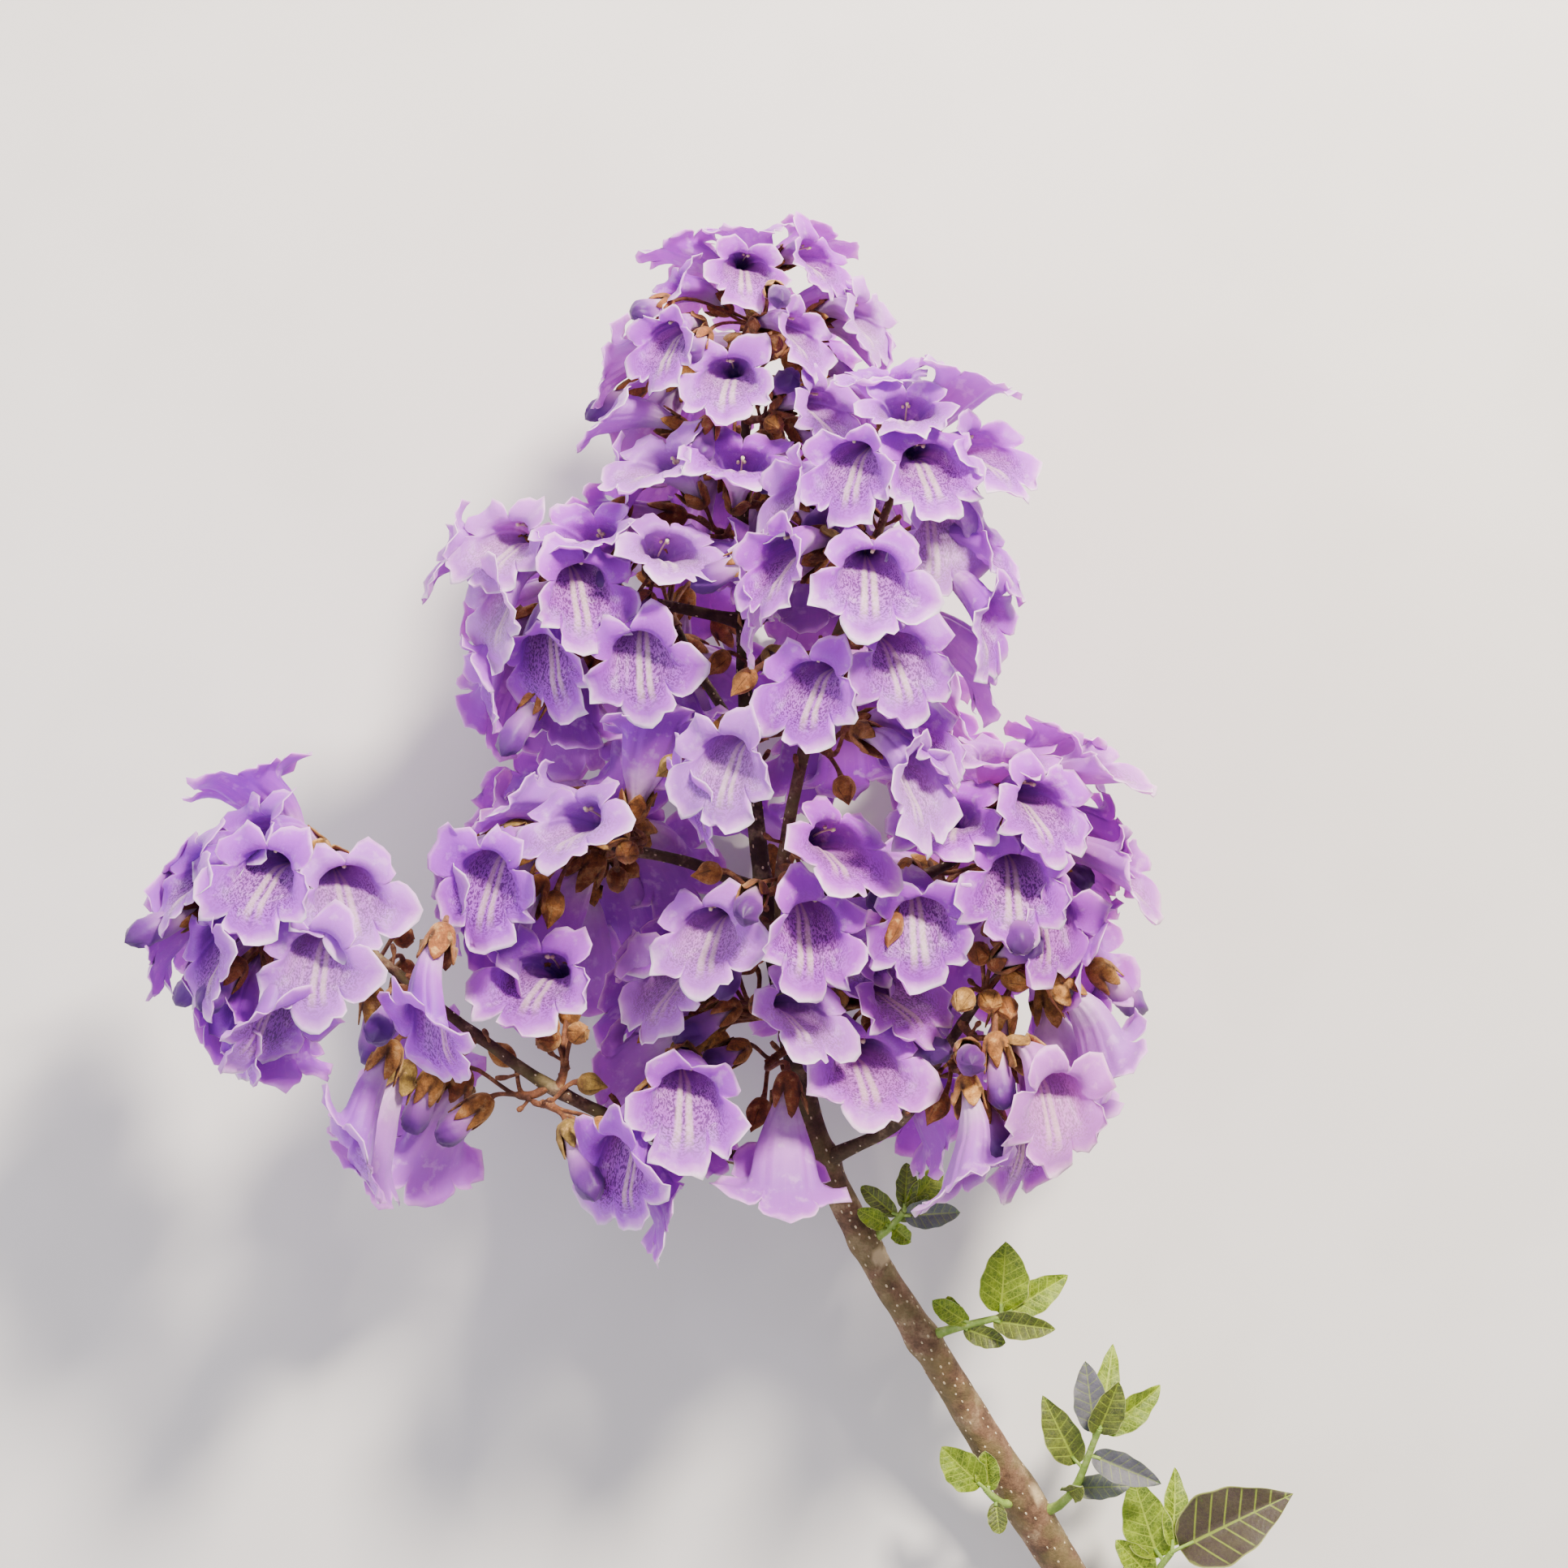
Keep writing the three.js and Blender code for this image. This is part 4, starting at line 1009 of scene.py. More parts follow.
# Each point of a shape is moved a little by a noise, further where much is large
def roughen(shape, scale, seed, much):
    for row in range(shape.shape[0]):
        for column in range(shape.shape[1]):
            place = Vector(shape[row, column]) * scale + Vector((seed * 7.3, 3, 0))
            shape[row, column] += np.array(noise.noise_vector(place)) * much[row, column]


# Bends a shape that was made along z, so that its mouth nods; its foot turns a little the other way
def nod(shape, degrees):
    start, end = corolla["bendsBetween"]
    along = np.linspace(0, 70, 141)
    heel = corolla["heelTurn"] * smooth(along / start)
    heading = np.radians(degrees) * (smooth((along - start) / (end - start)) - heel)
    step = along[1] - along[0]
    low, far = (np.cumsum(part) * step - part * step for part in (-np.sin(heading), np.cos(heading)))
    x, y, z = shape[..., 0], shape[..., 1], shape[..., 2]
    low, far, turned = (np.interp(z, along, part) for part in (low, far, heading))
    return np.stack([x, low + y * np.cos(turned), far + y * np.sin(turned)], axis=-1)


def corollaShape(seed, openness, bent):
    c = corolla
    random = np.random.default_rng(seed)
    lobe, s, degrees = lobeColumns(c["columnsPerLobe"], True)
    columns, turn = len(lobe), np.radians(degrees)
    middles = 126 + 72 * np.arange(-1, 6)

    def eased(values):
        return np.interp(degrees, middles, [values[-1], *values, values[0]])

    lengths, bends, within = np.array(c["lobes"], float).T
    lengths = lengths * (1 + c["lengthSpread"] * random.standard_normal(5))
    bend = eased(bends * openness + c["bendSpread"] * random.standard_normal(5))
    within, notch = eased(within), eased(c["notches"])
    power, root = c["outline"]
    reach = notch + (lengths[lobe] - notch) * (1 - np.abs(s) ** power) ** root
    frill, frillTurn = random.uniform(0, 2 * np.pi, (2, 5))
    waves = np.sin(np.pi * 2.3 * s + frill[lobe]) + 0.5 * np.sin(np.pi * 4.4 * s + frillTurn[lobe])
    reach = reach * (1 + c["frill"] * waves)
    mouth = c["mouth"] - c["lead"] * np.sin(turn)

    # the tube, with two ridges in its floor, a fold below each notch and finer creases
    f = np.linspace(0, 1, c["tubeRows"] + 1)[:, None]
    z = c["foot"] + f * (mouth - c["foot"])
    r = np.interp(z, *np.array(c["tube"], float).T)
    ridges = np.exp(-((np.abs(degrees - 270) - c["ridgeTurn"]) / c["ridgeWidth"]) ** 2)
    folds = np.exp(-((1 - np.abs(s)) / c["foldWidth"]) ** 2)
    creases = np.cos(11 * turn + random.uniform(0, 6)) * np.abs(np.sin(turn * 1.5 + seed))
    r = r - smooth((f - 0.25) / 0.5) * (c["ridges"] * ridges + c["folds"] * folds)
    r = r + smooth(f * 3) * smooth((1.15 - f) * 3) * c["creases"] * creases
    level = np.ones(columns)
    flare = level * math.radians(c["flare"])
    rows = [(z[row], r[row], flare, level * (c["vAtMouth"] * f[row, 0]), 0 * turn) for row in range(len(f))]

    # the lobes, each row a step further; their rims roll in or back
    lastZ, lastR, before = z[-1], r[-1], 0
    rolls = np.array([random.uniform(low, high) for low, high in c["rolls"]])[lobe]
    rolls = rolls * np.exp(-((s - random.uniform(-0.5, 0.5, 5)[lobe]) / 0.6) ** 2)
    rollFrom, rollOver = c["rollFrom"]
    for row in range(1, c["lobeRows"] + 1):
        t = 1 - (1 - row / c["lobeRows"]) ** c["lobeStep"]
        middle = (t + before) / 2
        angle = c["flare"] + (bend - c["flare"]) * smooth(middle * reach / within) + c["droop"] * middle ** 2
        angle = np.radians(angle - rolls * smooth((middle - rollFrom) / rollOver))
        lastZ = lastZ + np.cos(angle) * reach * (t - before)
        lastR = lastR + np.sin(angle) * reach * (t - before)
        rows.append((lastZ, lastR, angle, level * (c["vAtMouth"] + (1 - c["vAtMouth"]) * t), level * t))
        before = t
    z, r, angle, v, t = (np.array([row[part] for row in rows]) for part in range(5))

    # the lobes are twisted and cupped, and wavy towards their rims
    inner = 1 - np.abs(s) ** 6
    phase = random.uniform(0, 2 * np.pi, (5, 2))
    lift = c["twist"] * random.uniform(-1, 1, 5)[lobe] * s * t
    lift = lift + random.uniform(*c["cup"], 5)[lobe] * (s ** 2 - 0.35) * t ** 1.5
    lift = lift + c["ruffle"] * np.sin(np.pi * 1.5 * s + phase[lobe, 0]) * t ** 2
    lift = lift + c["crinkle"] * np.sin(np.pi * 3.6 * s + phase[lobe, 1]) * t ** 3
    z, r = z - np.sin(angle) * lift * inner, r + np.cos(angle) * lift * inner
    flat = smooth(z / 28)
    squareX, squareY = (1 + (power - 1) * flat for power in c["square"])
    x = np.sign(np.cos(turn)) * np.abs(np.cos(turn)) ** squareX
    y = np.where(np.sin(turn) < 0, -np.abs(np.sin(turn)) ** squareY, np.sin(turn))
    wide, high = 1 + (c["width"] - 1) * flat, 1 + (c["height"] - 1) * flat * (1 - 0.5 * t)
    shape = nod(np.stack([r * x * wide, r * y * high, z], axis=2), bent)
    for scale, low, high in (c["lumps"], c["wrinkles"]):
        roughen(shape, scale, seed, low + (high - low) * t)
    return shape, turn, v


# A closed tube through places with a radius at each, all of it along z or nearly
def tubePoints(blobs, sides, first):
    turn = np.arange(sides) * 2 * np.pi / sides
    rings = [middle + np.stack([np.cos(turn) * r, np.sin(turn) * r, 0 * turn], 1) for middle, r in blobs]
    return np.concatenate([*rings, [blobs[0][0]], [blobs[-1][0]]]), closedFaces(len(blobs), sides, first)


# The style with its knob and the anthers, under the roof of the throat
stamens = {
    "from": [0, 1.5, 12], "to": [0.5, 3.2, 26], "radii": [0.4, 0.4, 0.4, 0.4, 0.4, 0.8], "sides": 5, "v": 1.3,
    "anthers": [[-1.2, 3.1, 22], [1.3, 3, 23]],
    "anther": [[-1.2, 0.15], [-0.5, 0.7], [0.5, 0.7], [1.2, 0.15]],
}


def makeCorolla(name, seed, openness, bent):
    shape, turn, v = corollaShape(seed, openness, bent)
    points, faces, inner = makeCup(shape, corolla["wall"])
    place = cupPlace(np.cos(turn), np.sin(turn), v)
    start, end = point(*stamens["from"]), point(*stamens["to"])
    last = len(stamens["radii"]) - 1
    tubes = [[(start + (end - start) * k / last, r) for k, r in enumerate(stamens["radii"])]]
    tubes += [[(point(x, y, z + up), r) for up, r in stamens["anther"]] for x, y, z in stamens["anthers"]]
    added = np.empty((0, 3))
    for blobs in tubes:
        more, moreFaces = tubePoints(blobs, stamens["sides"], len(points) + len(added))
        added, faces = np.concatenate([added, more]), faces + moreFaces
    return makeObject(name, np.concatenate([points, nod(added, bent)]), faces, {
        "place": np.concatenate([place, np.tile([0, 1, stamens["v"]], (len(added), 1))]),
        "inner": np.concatenate([inner, np.ones(len(added))]), "bud": np.zeros(len(points) + len(added)),
    })


# A calyx: a felted bell, cleft half way down into five thick pointed teeth that lie close
calyx = {
    "columnsPerLobe": 6, "bodyRows": 5, "toothRows": 4, "cleft": 6.6, "teeth": 7.6, "outline": [1.7, 1.15],
    "bell": [[0, 0.9], [0.5, 2.0], [1.6, 3.3], [3.6, 4.3], [6.6, 4.9]], "keel": 0.5, "shortest": 0.35,
    "walls": [1.0, 0.5], "footWall": 0.3, "spreads": [0.2, 0.9, 0.5, 1.5, -0.4, -0.8], "lumps": [0.4, 0.28],
}


def makeCalyx(name, seed, spread):
    c = calyx
    random = np.random.default_rng(seed)
    lobe, s, degrees = lobeColumns(c["columnsPerLobe"])
    turn, level, keel = np.radians(degrees), np.ones(len(lobe)), c["keel"] * (1 - np.abs(s))
    power, root = c["outline"]
    lengths = c["teeth"] * (1 + 0.1 * random.standard_normal(5))[lobe]
    tooth = c["shortest"] + lengths * (1 - np.abs(s) ** power) ** root
    spreads = (spread + 0.5 * random.standard_normal(5))[lobe]
    bellZ, bellR = np.array(c["bell"], float).T
    rows = []
    for f in np.linspace(0, 1, c["bodyRows"] + 1):
        z = level * (c["cleft"] * f ** 1.5)
        rows.append((z, np.interp(z, bellZ, bellR) + keel * f, level * (f * 0.5)))
    for t in np.linspace(0, 1, c["toothRows"] + 1)[1:]:
        out = bellR[-1] + keel * (1 - 0.6 * t) + 0.5 * t + spreads * t ** 1.8
        rows.append((c["cleft"] + tooth * t, out, level * (0.5 + 0.5 * t)))
    z, r, v = (np.array([row[part] for row in rows]) for part in range(3))
    shape = np.stack([r * np.cos(turn), r * np.sin(turn), z], axis=2)
    scale, much = c["lumps"]
    roughen(shape, scale, seed, np.full(z.shape, much))
    row = np.arange(len(shape))
    walls = np.minimum(np.interp(row, [0, row[-1]], c["walls"]), c["footWall"] + 0.5 * row)
    points, faces, inner = makeCup(shape, walls)
    return makeObject(name, points, faces, {"place": cupPlace(np.abs(s), 0.0, v, 0.1), "inner": inner})


# Buds: coloured ones are crumpled clubs that stand out of a tight calyx, closed ones are all calyx,
# with a raised edge along each of their five seams
budForms = {
    "coloured": {
        "form": [[2, 2.2], [8, 3.1], [14, 4.2], [19, 5.0], [23, 4.9], [26, 3.9], [27.6, 2.3], [28.4, 0.3]],
        "columns": 30, "rows": 14, "stretches": [1, 0.88, 1.2, 1.1], "lumps": [0.24, 0.9],
        "crumple": [0.1, 0.06], "twist": 0.9,
    },
    "closed": {
        "form": [
            [0, 0.9], [0.5, 2.2], [2, 3.4], [4.5, 4.1], [6.5, 3.9], [8.6, 2.9], [10.6, 1.5], [12.2, 0.6],
            [13, 0.15],
        ],
        "columns": 40, "rows": 12, "stretches": [1, 0.85, 1.1], "lumps": [0.4, 0.4],
        "edge": [0.2, 13], "seam": [0.3, 5],
    },
}


def makeBud(name, seed, stretched, kind):
    b, isClosed = budForms[kind], kind == "closed"
    columns, rows, (scale, much) = b["columns"], b["rows"], b["lumps"]
    formZ, formR = np.array(b["form"], float).T
    turn = np.arange(columns) * 2 * np.pi / columns + np.radians(90)
    f = np.linspace(0, 1, rows)[:, None]
    z = formZ[0] + (formZ[-1] - formZ[0]) * (1 - (1 - f) ** 1.25)
    r = np.interp(z, formZ, formR) + 0 * turn
    around = np.cos(turn)
    if isClosed:
        fromSeam = 36 - np.abs((np.degrees(turn) % 72) - 36)
        edge, around = (np.exp(-(fromSeam / b[part][1]) ** 2) for part in ("edge", "seam"))
        raised = b["edge"][0] * edge - b["seam"][0] * around
        r = r * (1 + raised * smooth((f - 0.25) / 0.25) * smooth((1.1 - f) * 4))
    else:
        wide, fine = b["crumple"]
        twisted = turn + b["twist"] * smooth((f - 0.5) * 2) * (1 if seed % 2 else -1)
        crumpled = wide * np.cos(5 * twisted) + fine * np.cos(9 * twisted + seed)
        r = r * (1 + crumpled * smooth((f - 0.35) / 0.5))
    shape = np.stack([r * np.cos(turn), r * np.sin(turn), z * stretched + 0 * turn], axis=2)
    roughen(shape, scale, seed, much * f + 0 * turn)
    ends = [shape[0].mean(0), shape[-1].mean(0) + point(0, 0, 0.3)]
    points = np.concatenate([shape.reshape(-1, 3), ends])
    place = np.stack(np.broadcast_arrays(around, np.sin(turn), f), axis=2).reshape(-1, 3)
    values = {"place": np.concatenate([place, [[0, 0, 0], [0, 0, 1]]]), "inner": np.zeros(len(points))}
    if not isClosed:
        values["bud"] = np.ones(len(points))
    return makeObject(name, points, closedFaces(rows, columns), values)


# The kinds that the scattering picks from, by their number in the order of their names
def makeKinds(name, things):
    kinds = bpy.data.collections.new(name)
    for thing in things:
        kinds.objects.link(thing)
    return kinds


def makeBuds(kind, first):
    stretches = budForms[kind]["stretches"]
    names = [f"kind{first + k:02d}{kind}" for k in range(len(stretches))]
    return [makeBud(name, k + 1, stretches[k], kind) for k, name in enumerate(names)]


bloomKinds, calyxKinds = len(corolla["variants"]), len(calyx["spreads"])
petalKinds = makeKinds("petalKinds", [
    *(makeCorolla(f"kind{k:02d}corolla", k + 1, *variant) for k, variant in enumerate(corolla["variants"])),
    *makeBuds("coloured", bloomKinds),
])
feltKinds = makeKinds("feltKinds", [
    *(makeCalyx(f"kind{k:02d}calyx", k + 1, spread) for k, spread in enumerate(calyx["spreads"])),
    *makeBuds("closed", calyxKinds),
])
print("flower kinds made")


def makeTree(name, inputs):
    tree = bpy.data.node_groups.new(name, "GeometryNodeTree")
    addSockets(tree, "INPUT", {"Geometry": "Geometry", **inputs})
    addSockets(tree, "OUTPUT", {"Geometry": "Geometry"})
    return tree, put(tree, "NodeGroupInput").outputs


def namedValue(tree, name, kind):
    return put(tree, "GeometryNodeInputNamedAttribute", {"Name": name}, data_type=kind).outputs[0]


# Real meshes with a smooth finish and the piece's own material
def endTree(tree, geometry, material):
    real = put(tree, "GeometryNodeRealizeInstances", {0: geometry}).outputs[0]
    rounded = put(tree, "GeometryNodeSetShadeSmooth", {0: real}).outputs[0]
    finished = put(tree, "GeometryNodeSetMaterial", {0: rounded, "Material": material}).outputs[0]
    put(tree, "NodeGroupOutput", {0: finished})
    return tree


# Puts one of the kinds on each point, turned and sized as the point says
def makeScatterTree():
    tree, given = makeTree("scatter", {"Kinds": "Collection", "Size": "Float", "Material": "Material"})
    kinds = put(tree, "GeometryNodeCollectionInfo", {
        "Collection": given["Kinds"], "Separate Children": True, "Reset Children": True,
    }).outputs[0]
    placed = put(tree, "GeometryNodeInstanceOnPoints", {
        "Points": given["Geometry"], "Instance": kinds, "Pick Instance": True,
        "Instance Index": namedValue(tree, "kind", "INT"), "Rotation": namedValue(tree, "turn", "QUATERNION"),
        "Scale": times(tree, namedValue(tree, "size", "FLOAT"), given["Size"]),
    }).outputs[0]
    return endTree(tree, placed, given["Material"])


# Makes a round stalk along each line of edges, as thick as its points say
def makeStalkTree():
    tree, given = makeTree("stalks", {"Sides": "Int", "Material": "Material"})
    lines = put(tree, "GeometryNodeMeshToCurve", {0: given["Geometry"]}).outputs[0]
    form = {"Resolution": given["Sides"], "Radius": 1.0}
    section = put(tree, "GeometryNodeCurvePrimitiveCircle", form).outputs[0]
    skin = put(tree, "GeometryNodeCurveToMesh", {
        "Curve": lines, "Profile Curve": section, "Scale": namedValue(tree, "girth", "FLOAT"),
        "Fill Caps": True,
    }).outputs[0]
    return endTree(tree, skin, given["Material"])


# Strews raised lenticels over bark, each longer along the limb
def makeLenticelTree():
    tree, given = makeTree("lenticels", {
        "Density": "Float", "Spacing": "Float", "Size": "Float", "Seed": "Int", "Material": "Material",
    })
    strewn = put(tree, "GeometryNodeDistributePointsOnFaces", {
        "Mesh": given["Geometry"], "Distance Min": given["Spacing"], "Density Max": given["Density"],
        "Density Factor": 1.0, "Seed": given["Seed"],
    }, distribute_method="POISSON").outputs
    turned = put(tree, "FunctionNodeAlignRotationToVector", {
        "Rotation": strewn["Rotation"], "Vector": namedValue(tree, "along", "FLOAT_VECTOR"),
    }, axis="Y", pivot_axis="Z").outputs[0]
    ball = put(tree, "GeometryNodeMeshUVSphere", {"Segments": 8, "Rings": 5, "Radius": 1.0}).outputs[0]
    form = {"Min": (0.5, 0.8, 0.3), "Max": (0.9, 1.5, 0.5)}
    forms = put(tree, "FunctionNodeRandomValue", form, data_type="FLOAT_VECTOR").outputs[0]
    size = put(tree, "ShaderNodeVectorMath", {0: forms, "Scale": given["Size"]}, operation="SCALE").outputs[0]
    placed = put(tree, "GeometryNodeInstanceOnPoints", {
        "Points": strewn[0], "Instance": ball, "Rotation": turned, "Scale": size,
    }).outputs[0]
    return endTree(tree, placed, given["Material"])


scatterTree, stalkTree, lenticelTree = makeScatterTree(), makeStalkTree(), makeLenticelTree()


def link(thing):
    bpy.context.scene.collection.objects.link(thing)
    return thing


# Runs a tree on a source mesh and keeps what it makes as a plain mesh
def grow(name, sourceMesh, tree, values):
    source = link(bpy.data.objects.new("source", sourceMesh))
    modifier = source.modifiers.new(tree.name, "NODES")
    modifier.node_group = tree
    sockets = {item.name: item.identifier for item in tree.interface.items_tree if item.in_out == "INPUT"}
    for key, value in values.items():
        modifier[sockets[key]] = value
    made = source.evaluated_get(bpy.context.evaluated_depsgraph_get())
    mesh = bpy.data.meshes.new_from_object(made)
    mesh.name = name
    source.modifiers.clear()
    bpy.data.objects.remove(source)
    return bpy.data.objects.new(name, mesh)


# Petals that would reach the floor lie on it
def layOnFloor(mesh, softness=0.0006):
    places = np.empty(3 * len(mesh.vertices), np.float32)
    mesh.vertices.foreach_get("co", places)
    heights = places[2::3]
    eased = softness * np.exp(np.minimum(heights / softness - 1, 0))
    places[2::3] = np.where(heights < softness, eased, heights)
    mesh.vertices.foreach_set("co", places)
    mesh.update()


triangles = {"all": 0}


def dress(piece, slot, *nodes):
    link(piece)
    layOnFloor(piece.data)
    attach(piece, "root")
    if nodes:
        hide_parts(*nodes)
    triangles["all"] += sum(len(face.vertices) - 2 for face in piece.data.polygons)


# Limbs: rings of bark with ridges, a swelling at each place where something leaves, and leaf scars
limbForm = {
    "ringStep": 1.5, "mainColumns": 44, "branchColumns": 24, "sunk": 1.4, "collar": 0.32, "collarLength": 3,
    "ridges": 0.2, "ridgePlace": [0.75, 0.07, 9.7], "lumps": 0.3, "lumpScale": 0.12, "swelling": 0.16,
    "swellingLength": 4, "tip": [0.55, 0.5],
    "scars": [[33.9, -166.4], [91.9, -255.3]], "scarRadius": 3.1, "scarRim": 0.5, "scarFacing": 0.2,
}
# The bark's colour along each limb, from dark umber at 0 to tan at 1: the tan of the older wood and of the
# front branch, and painted shade in the flower cluster and on the limbs inside it; and how green
limbWoodAndShade = {
    "main_shoot": [[-320, 0.95], [-170, 0.9], [-125, 0.7], [-95, 0.22], [60, 0.12], [150, 0.45]],
    "left_low_branch": [[-130, 0.4], [-40, 0.55]], "front_branch": [[-60, 0.75], [100, 0.95]],
    "right_low_branch": [[-130, 0.35], [-60, 0.3]], "others": [[-100, 0.3], [100, 0.3]],
}
limbGreens = {"main_shoot": 0.45, "front_branch": 0.7, "left_low_branch": 0.5, "others": 0.15}


def stationsOn(limbName):
    stations = [row[0] for name, named in cymes if name == limbName for row in named.values() if row[0] < 1]
    if limbName == "main_shoot":
        stations += [branch["leaves"] for branch in sideBranches.values()]
        stations += [row[0] for row in leafTwigs.values()]
    return stations


def makeLimbMesh(name, limb, number):
    form, isMain = limbForm, name == "main_shoot"
    columns = form["mainColumns" if isMain else "branchColumns"]
    length, stations = limbLength(limb), stationsOn(name)
    steps = math.ceil(length / form["ringStep"])
    tones = np.array(limbWoodAndShade.get(name, limbWoodAndShade["others"]), float).T
    green = limbGreens.get(name, limbGreens["others"])
    ridgeAround, ridgeAlong, apart = form["ridgePlace"]
    rings, values = [], {"woodAndShade": [], "green": [], "scar": [], "along": []}
    for k in range(-1, steps + 1):
        t = max(k, 0) / steps
        middle, way = limbPoint(limb, t), limbTangent(limb, t)
        if k == -1 and not isMain:
            middle = middle - way * form["sunk"]
        side, up, _ = axesAlong(way, towardsEye)
        swelling = sum(math.exp(-((t - at) * length / form["swellingLength"]) ** 2) for at in stations)
        flare = 0 if isMain else form["collar"] * math.exp(-t * length / form["collarLength"])
        radius = radiusAt(limb, t) * (1 + form["swelling"] * min(swelling, 1) + flare)
        radius *= form["tip"][0] if k == steps else 1
        ring = []
        for angle in np.arange(columns) * 2 * np.pi / columns:
            out = side * math.cos(angle) + up * math.sin(angle)
            place = Vector((number * apart, 0, t * length * ridgeAlong))
            ridge = noise.noise(Vector(out * radius * ridgeAround) + place)
            lump = noise.noise(Vector(middle + out * radius) * form["lumpScale"])
            surface = middle + out * (radius + form["ridges"] * ridge + form["lumps"] * lump * radius / 5)
            scar = 0
            for x, y in form["scars"] if isMain else []:
                distance = math.hypot(surface[0] - x, surface[1] - y) / form["scarRadius"]
                if out[2] > form["scarFacing"] and distance < 2:
                    surface = surface + out * form["scarRim"] * math.exp(-((distance - 1) / 0.3) ** 2)
                    scar = 1 - float(smooth((distance - 0.85) / 0.3))
            ring.append(surface)
            # the bark's colour by height: the tan of the older wood, and painted shade where the limb runs
            # through the flower cluster
            values["woodAndShade"].append(np.interp(middle[1], *tones))
            values["green"].append(green)
            values["scar"].append(scar)
            values["along"].append(np.array(lieTurn) @ way)
        rings.append(ring)
    ends = [np.mean(rings[0], axis=0), np.mean(rings[-1], axis=0) + limbTangent(limb, 1) * form["tip"][1]]
    for stored in values.values():
        stored += [stored[0], stored[-1]]
    points = layDown(np.concatenate([np.array(rings).reshape(-1, 3), ends]))
    return makeObject(f"{name}_bark", points, closedFaces(len(rings), columns), values, barkMaterial)


lenticels = {"Density": 48000.0, "Spacing": 0.0024, "Size": 0.00052, "Material": plain["lenticel_cork"]}
branchLenticels = 0.75

for number, (limbName, limb) in enumerate(limbs.items()):
    barkPiece = makeLimbMesh(limbName, limb, number)
    source = barkPiece.data.copy()
    dress(barkPiece, "bark", limbName)
    size = lenticels["Size"] * (1 if limbName == "main_shoot" else branchLenticels)
    values = {**lenticels, "Size": size, "Seed": number}
    dress(grow(f"{limbName}_lenticels", source, lenticelTree, values), "bark")
print("limbs made:", len(limbs), "with", triangles["all"], "triangles")

# The cut across the foot of the main shoot
cutForm = {"thickness": 0.25, "rings": 8, "columns": 44, "inside": 0.97}


def makeCutFace(form):
    limb, columns = limbs["main_shoot"], form["columns"]
    middle, way = limbPoint(limb, 0), limbTangent(limb, 0)
    side, up, _ = axesAlong(way, towardsEye)
    turn = np.arange(columns) * 2 * np.pi / columns
    radius = radiusAt(limb, 0) * form["inside"]
    circle = (np.cos(turn)[:, None] * side + np.sin(turn)[:, None] * up) * radius
    shares = np.linspace(1, 1 / form["rings"], form["rings"])
    face = middle - way * form["thickness"]
    points = np.concatenate([middle + circle, *(face + circle * share for share in shares), [middle], [face]])
    out = np.concatenate([np.ones(columns), np.repeat(shares, columns), [0, 0]])
    faces = closedFaces(len(shares) + 1, columns, 0, True)
    return makeObject("main_shoot_cut_face", layDown(points), faces, {"out": out}, cutMaterial)


dress(makeCutFace(cutForm), "bark")


# Stalks: lines of places with a radius at each, which the stalk tree makes round. This one leaves its
# start one way and comes to its end another.
def strand(start, startWay, end, endWay, radii):
    reach = math.dist(start, end)
    a, b = startWay * reach, endWay * reach
    line = []
    for w in np.linspace(0, 1, len(radii)):
        bend = (2 * w ** 3 - 3 * w ** 2 + 1) * start + (w ** 3 - 2 * w ** 2 + w) * a
        line.append(bend + (3 * w ** 2 - 2 * w ** 3) * end + (w ** 3 - w ** 2) * b)
    return np.array(line), np.array(radii, float)


def nearestOn(line, place):
    return line[np.argmin(((line - place) ** 2).sum(1))]


def growStrands(name, strands, material, sides=8):
    edges, first = [], 0
    for line, _ in strands:
        edges += [(first + k, first + k + 1) for k in range(len(line) - 1)]
        first += len(line)
    mesh = bpy.data.meshes.new("strands")
    mesh.from_pydata(layDown(np.concatenate([line for line, _ in strands])).tolist(), edges, [])
    girth = np.concatenate([radii for _, radii in strands]) / 1000
    mesh.attributes.new("girth", "FLOAT", "POINT").data.foreach_set("value", girth.astype(np.float32))
    return grow(name, mesh, stalkTree, {"Sides": sides, "Material": material})


stalkForm = {
    "sunk": 1.3, "stalkRadii": [2.1, 1.75, 1.55, 1.5, 1.45, 1.4, 1.4, 1.45],
    "furtherRadii": [1.2, 1.15, 1.15, 1.15, 1.15, 1.2, 1.25, 1.35],
    "pedicelRadii": [1.3, 1.0, 0.82, 0.78, 0.78, 0.82, 0.95, 1.25], "pedicelSunk": 0.5,
    "fromStalk": 0.5, "knot": 1.75, "knotEnds": 0.6, "knotLength": 0.9,
    "spurRadii": [1.0, 0.68, 0.6, 0.58, 0.6, 0.95, 1.05, 0.7], "spurLength": 4, "spurSpread": 5,
    "spurLean": [50, 80], "spurRise": 0.25, "spurBend": 0.9,
    "secondSpurFrom": 16, "spursAlong": [0.35, 0.5],
    "limbSpurs": {"front_branch": 13, "left_low_branch": 8, "main_shoot": 12, "right_low_branch": 5},
    "mainSpursAlong": [0.42, 0.56], "branchSpursAlong": [0.12, 0.82],
}


def spurFrom(start, way, seed, length):
    low, high = stalkForm["spurLean"]
    out = lean(way, math.radians(low + (high - low) * chance(seed + 0.5)), 2 * math.pi * chance(seed + 0.2))
    end = start + out * length + way * length * stalkForm["spurRise"]
    return strand(start, out, end, unit(out + way * stalkForm["spurBend"]), stalkForm["spurRadii"])


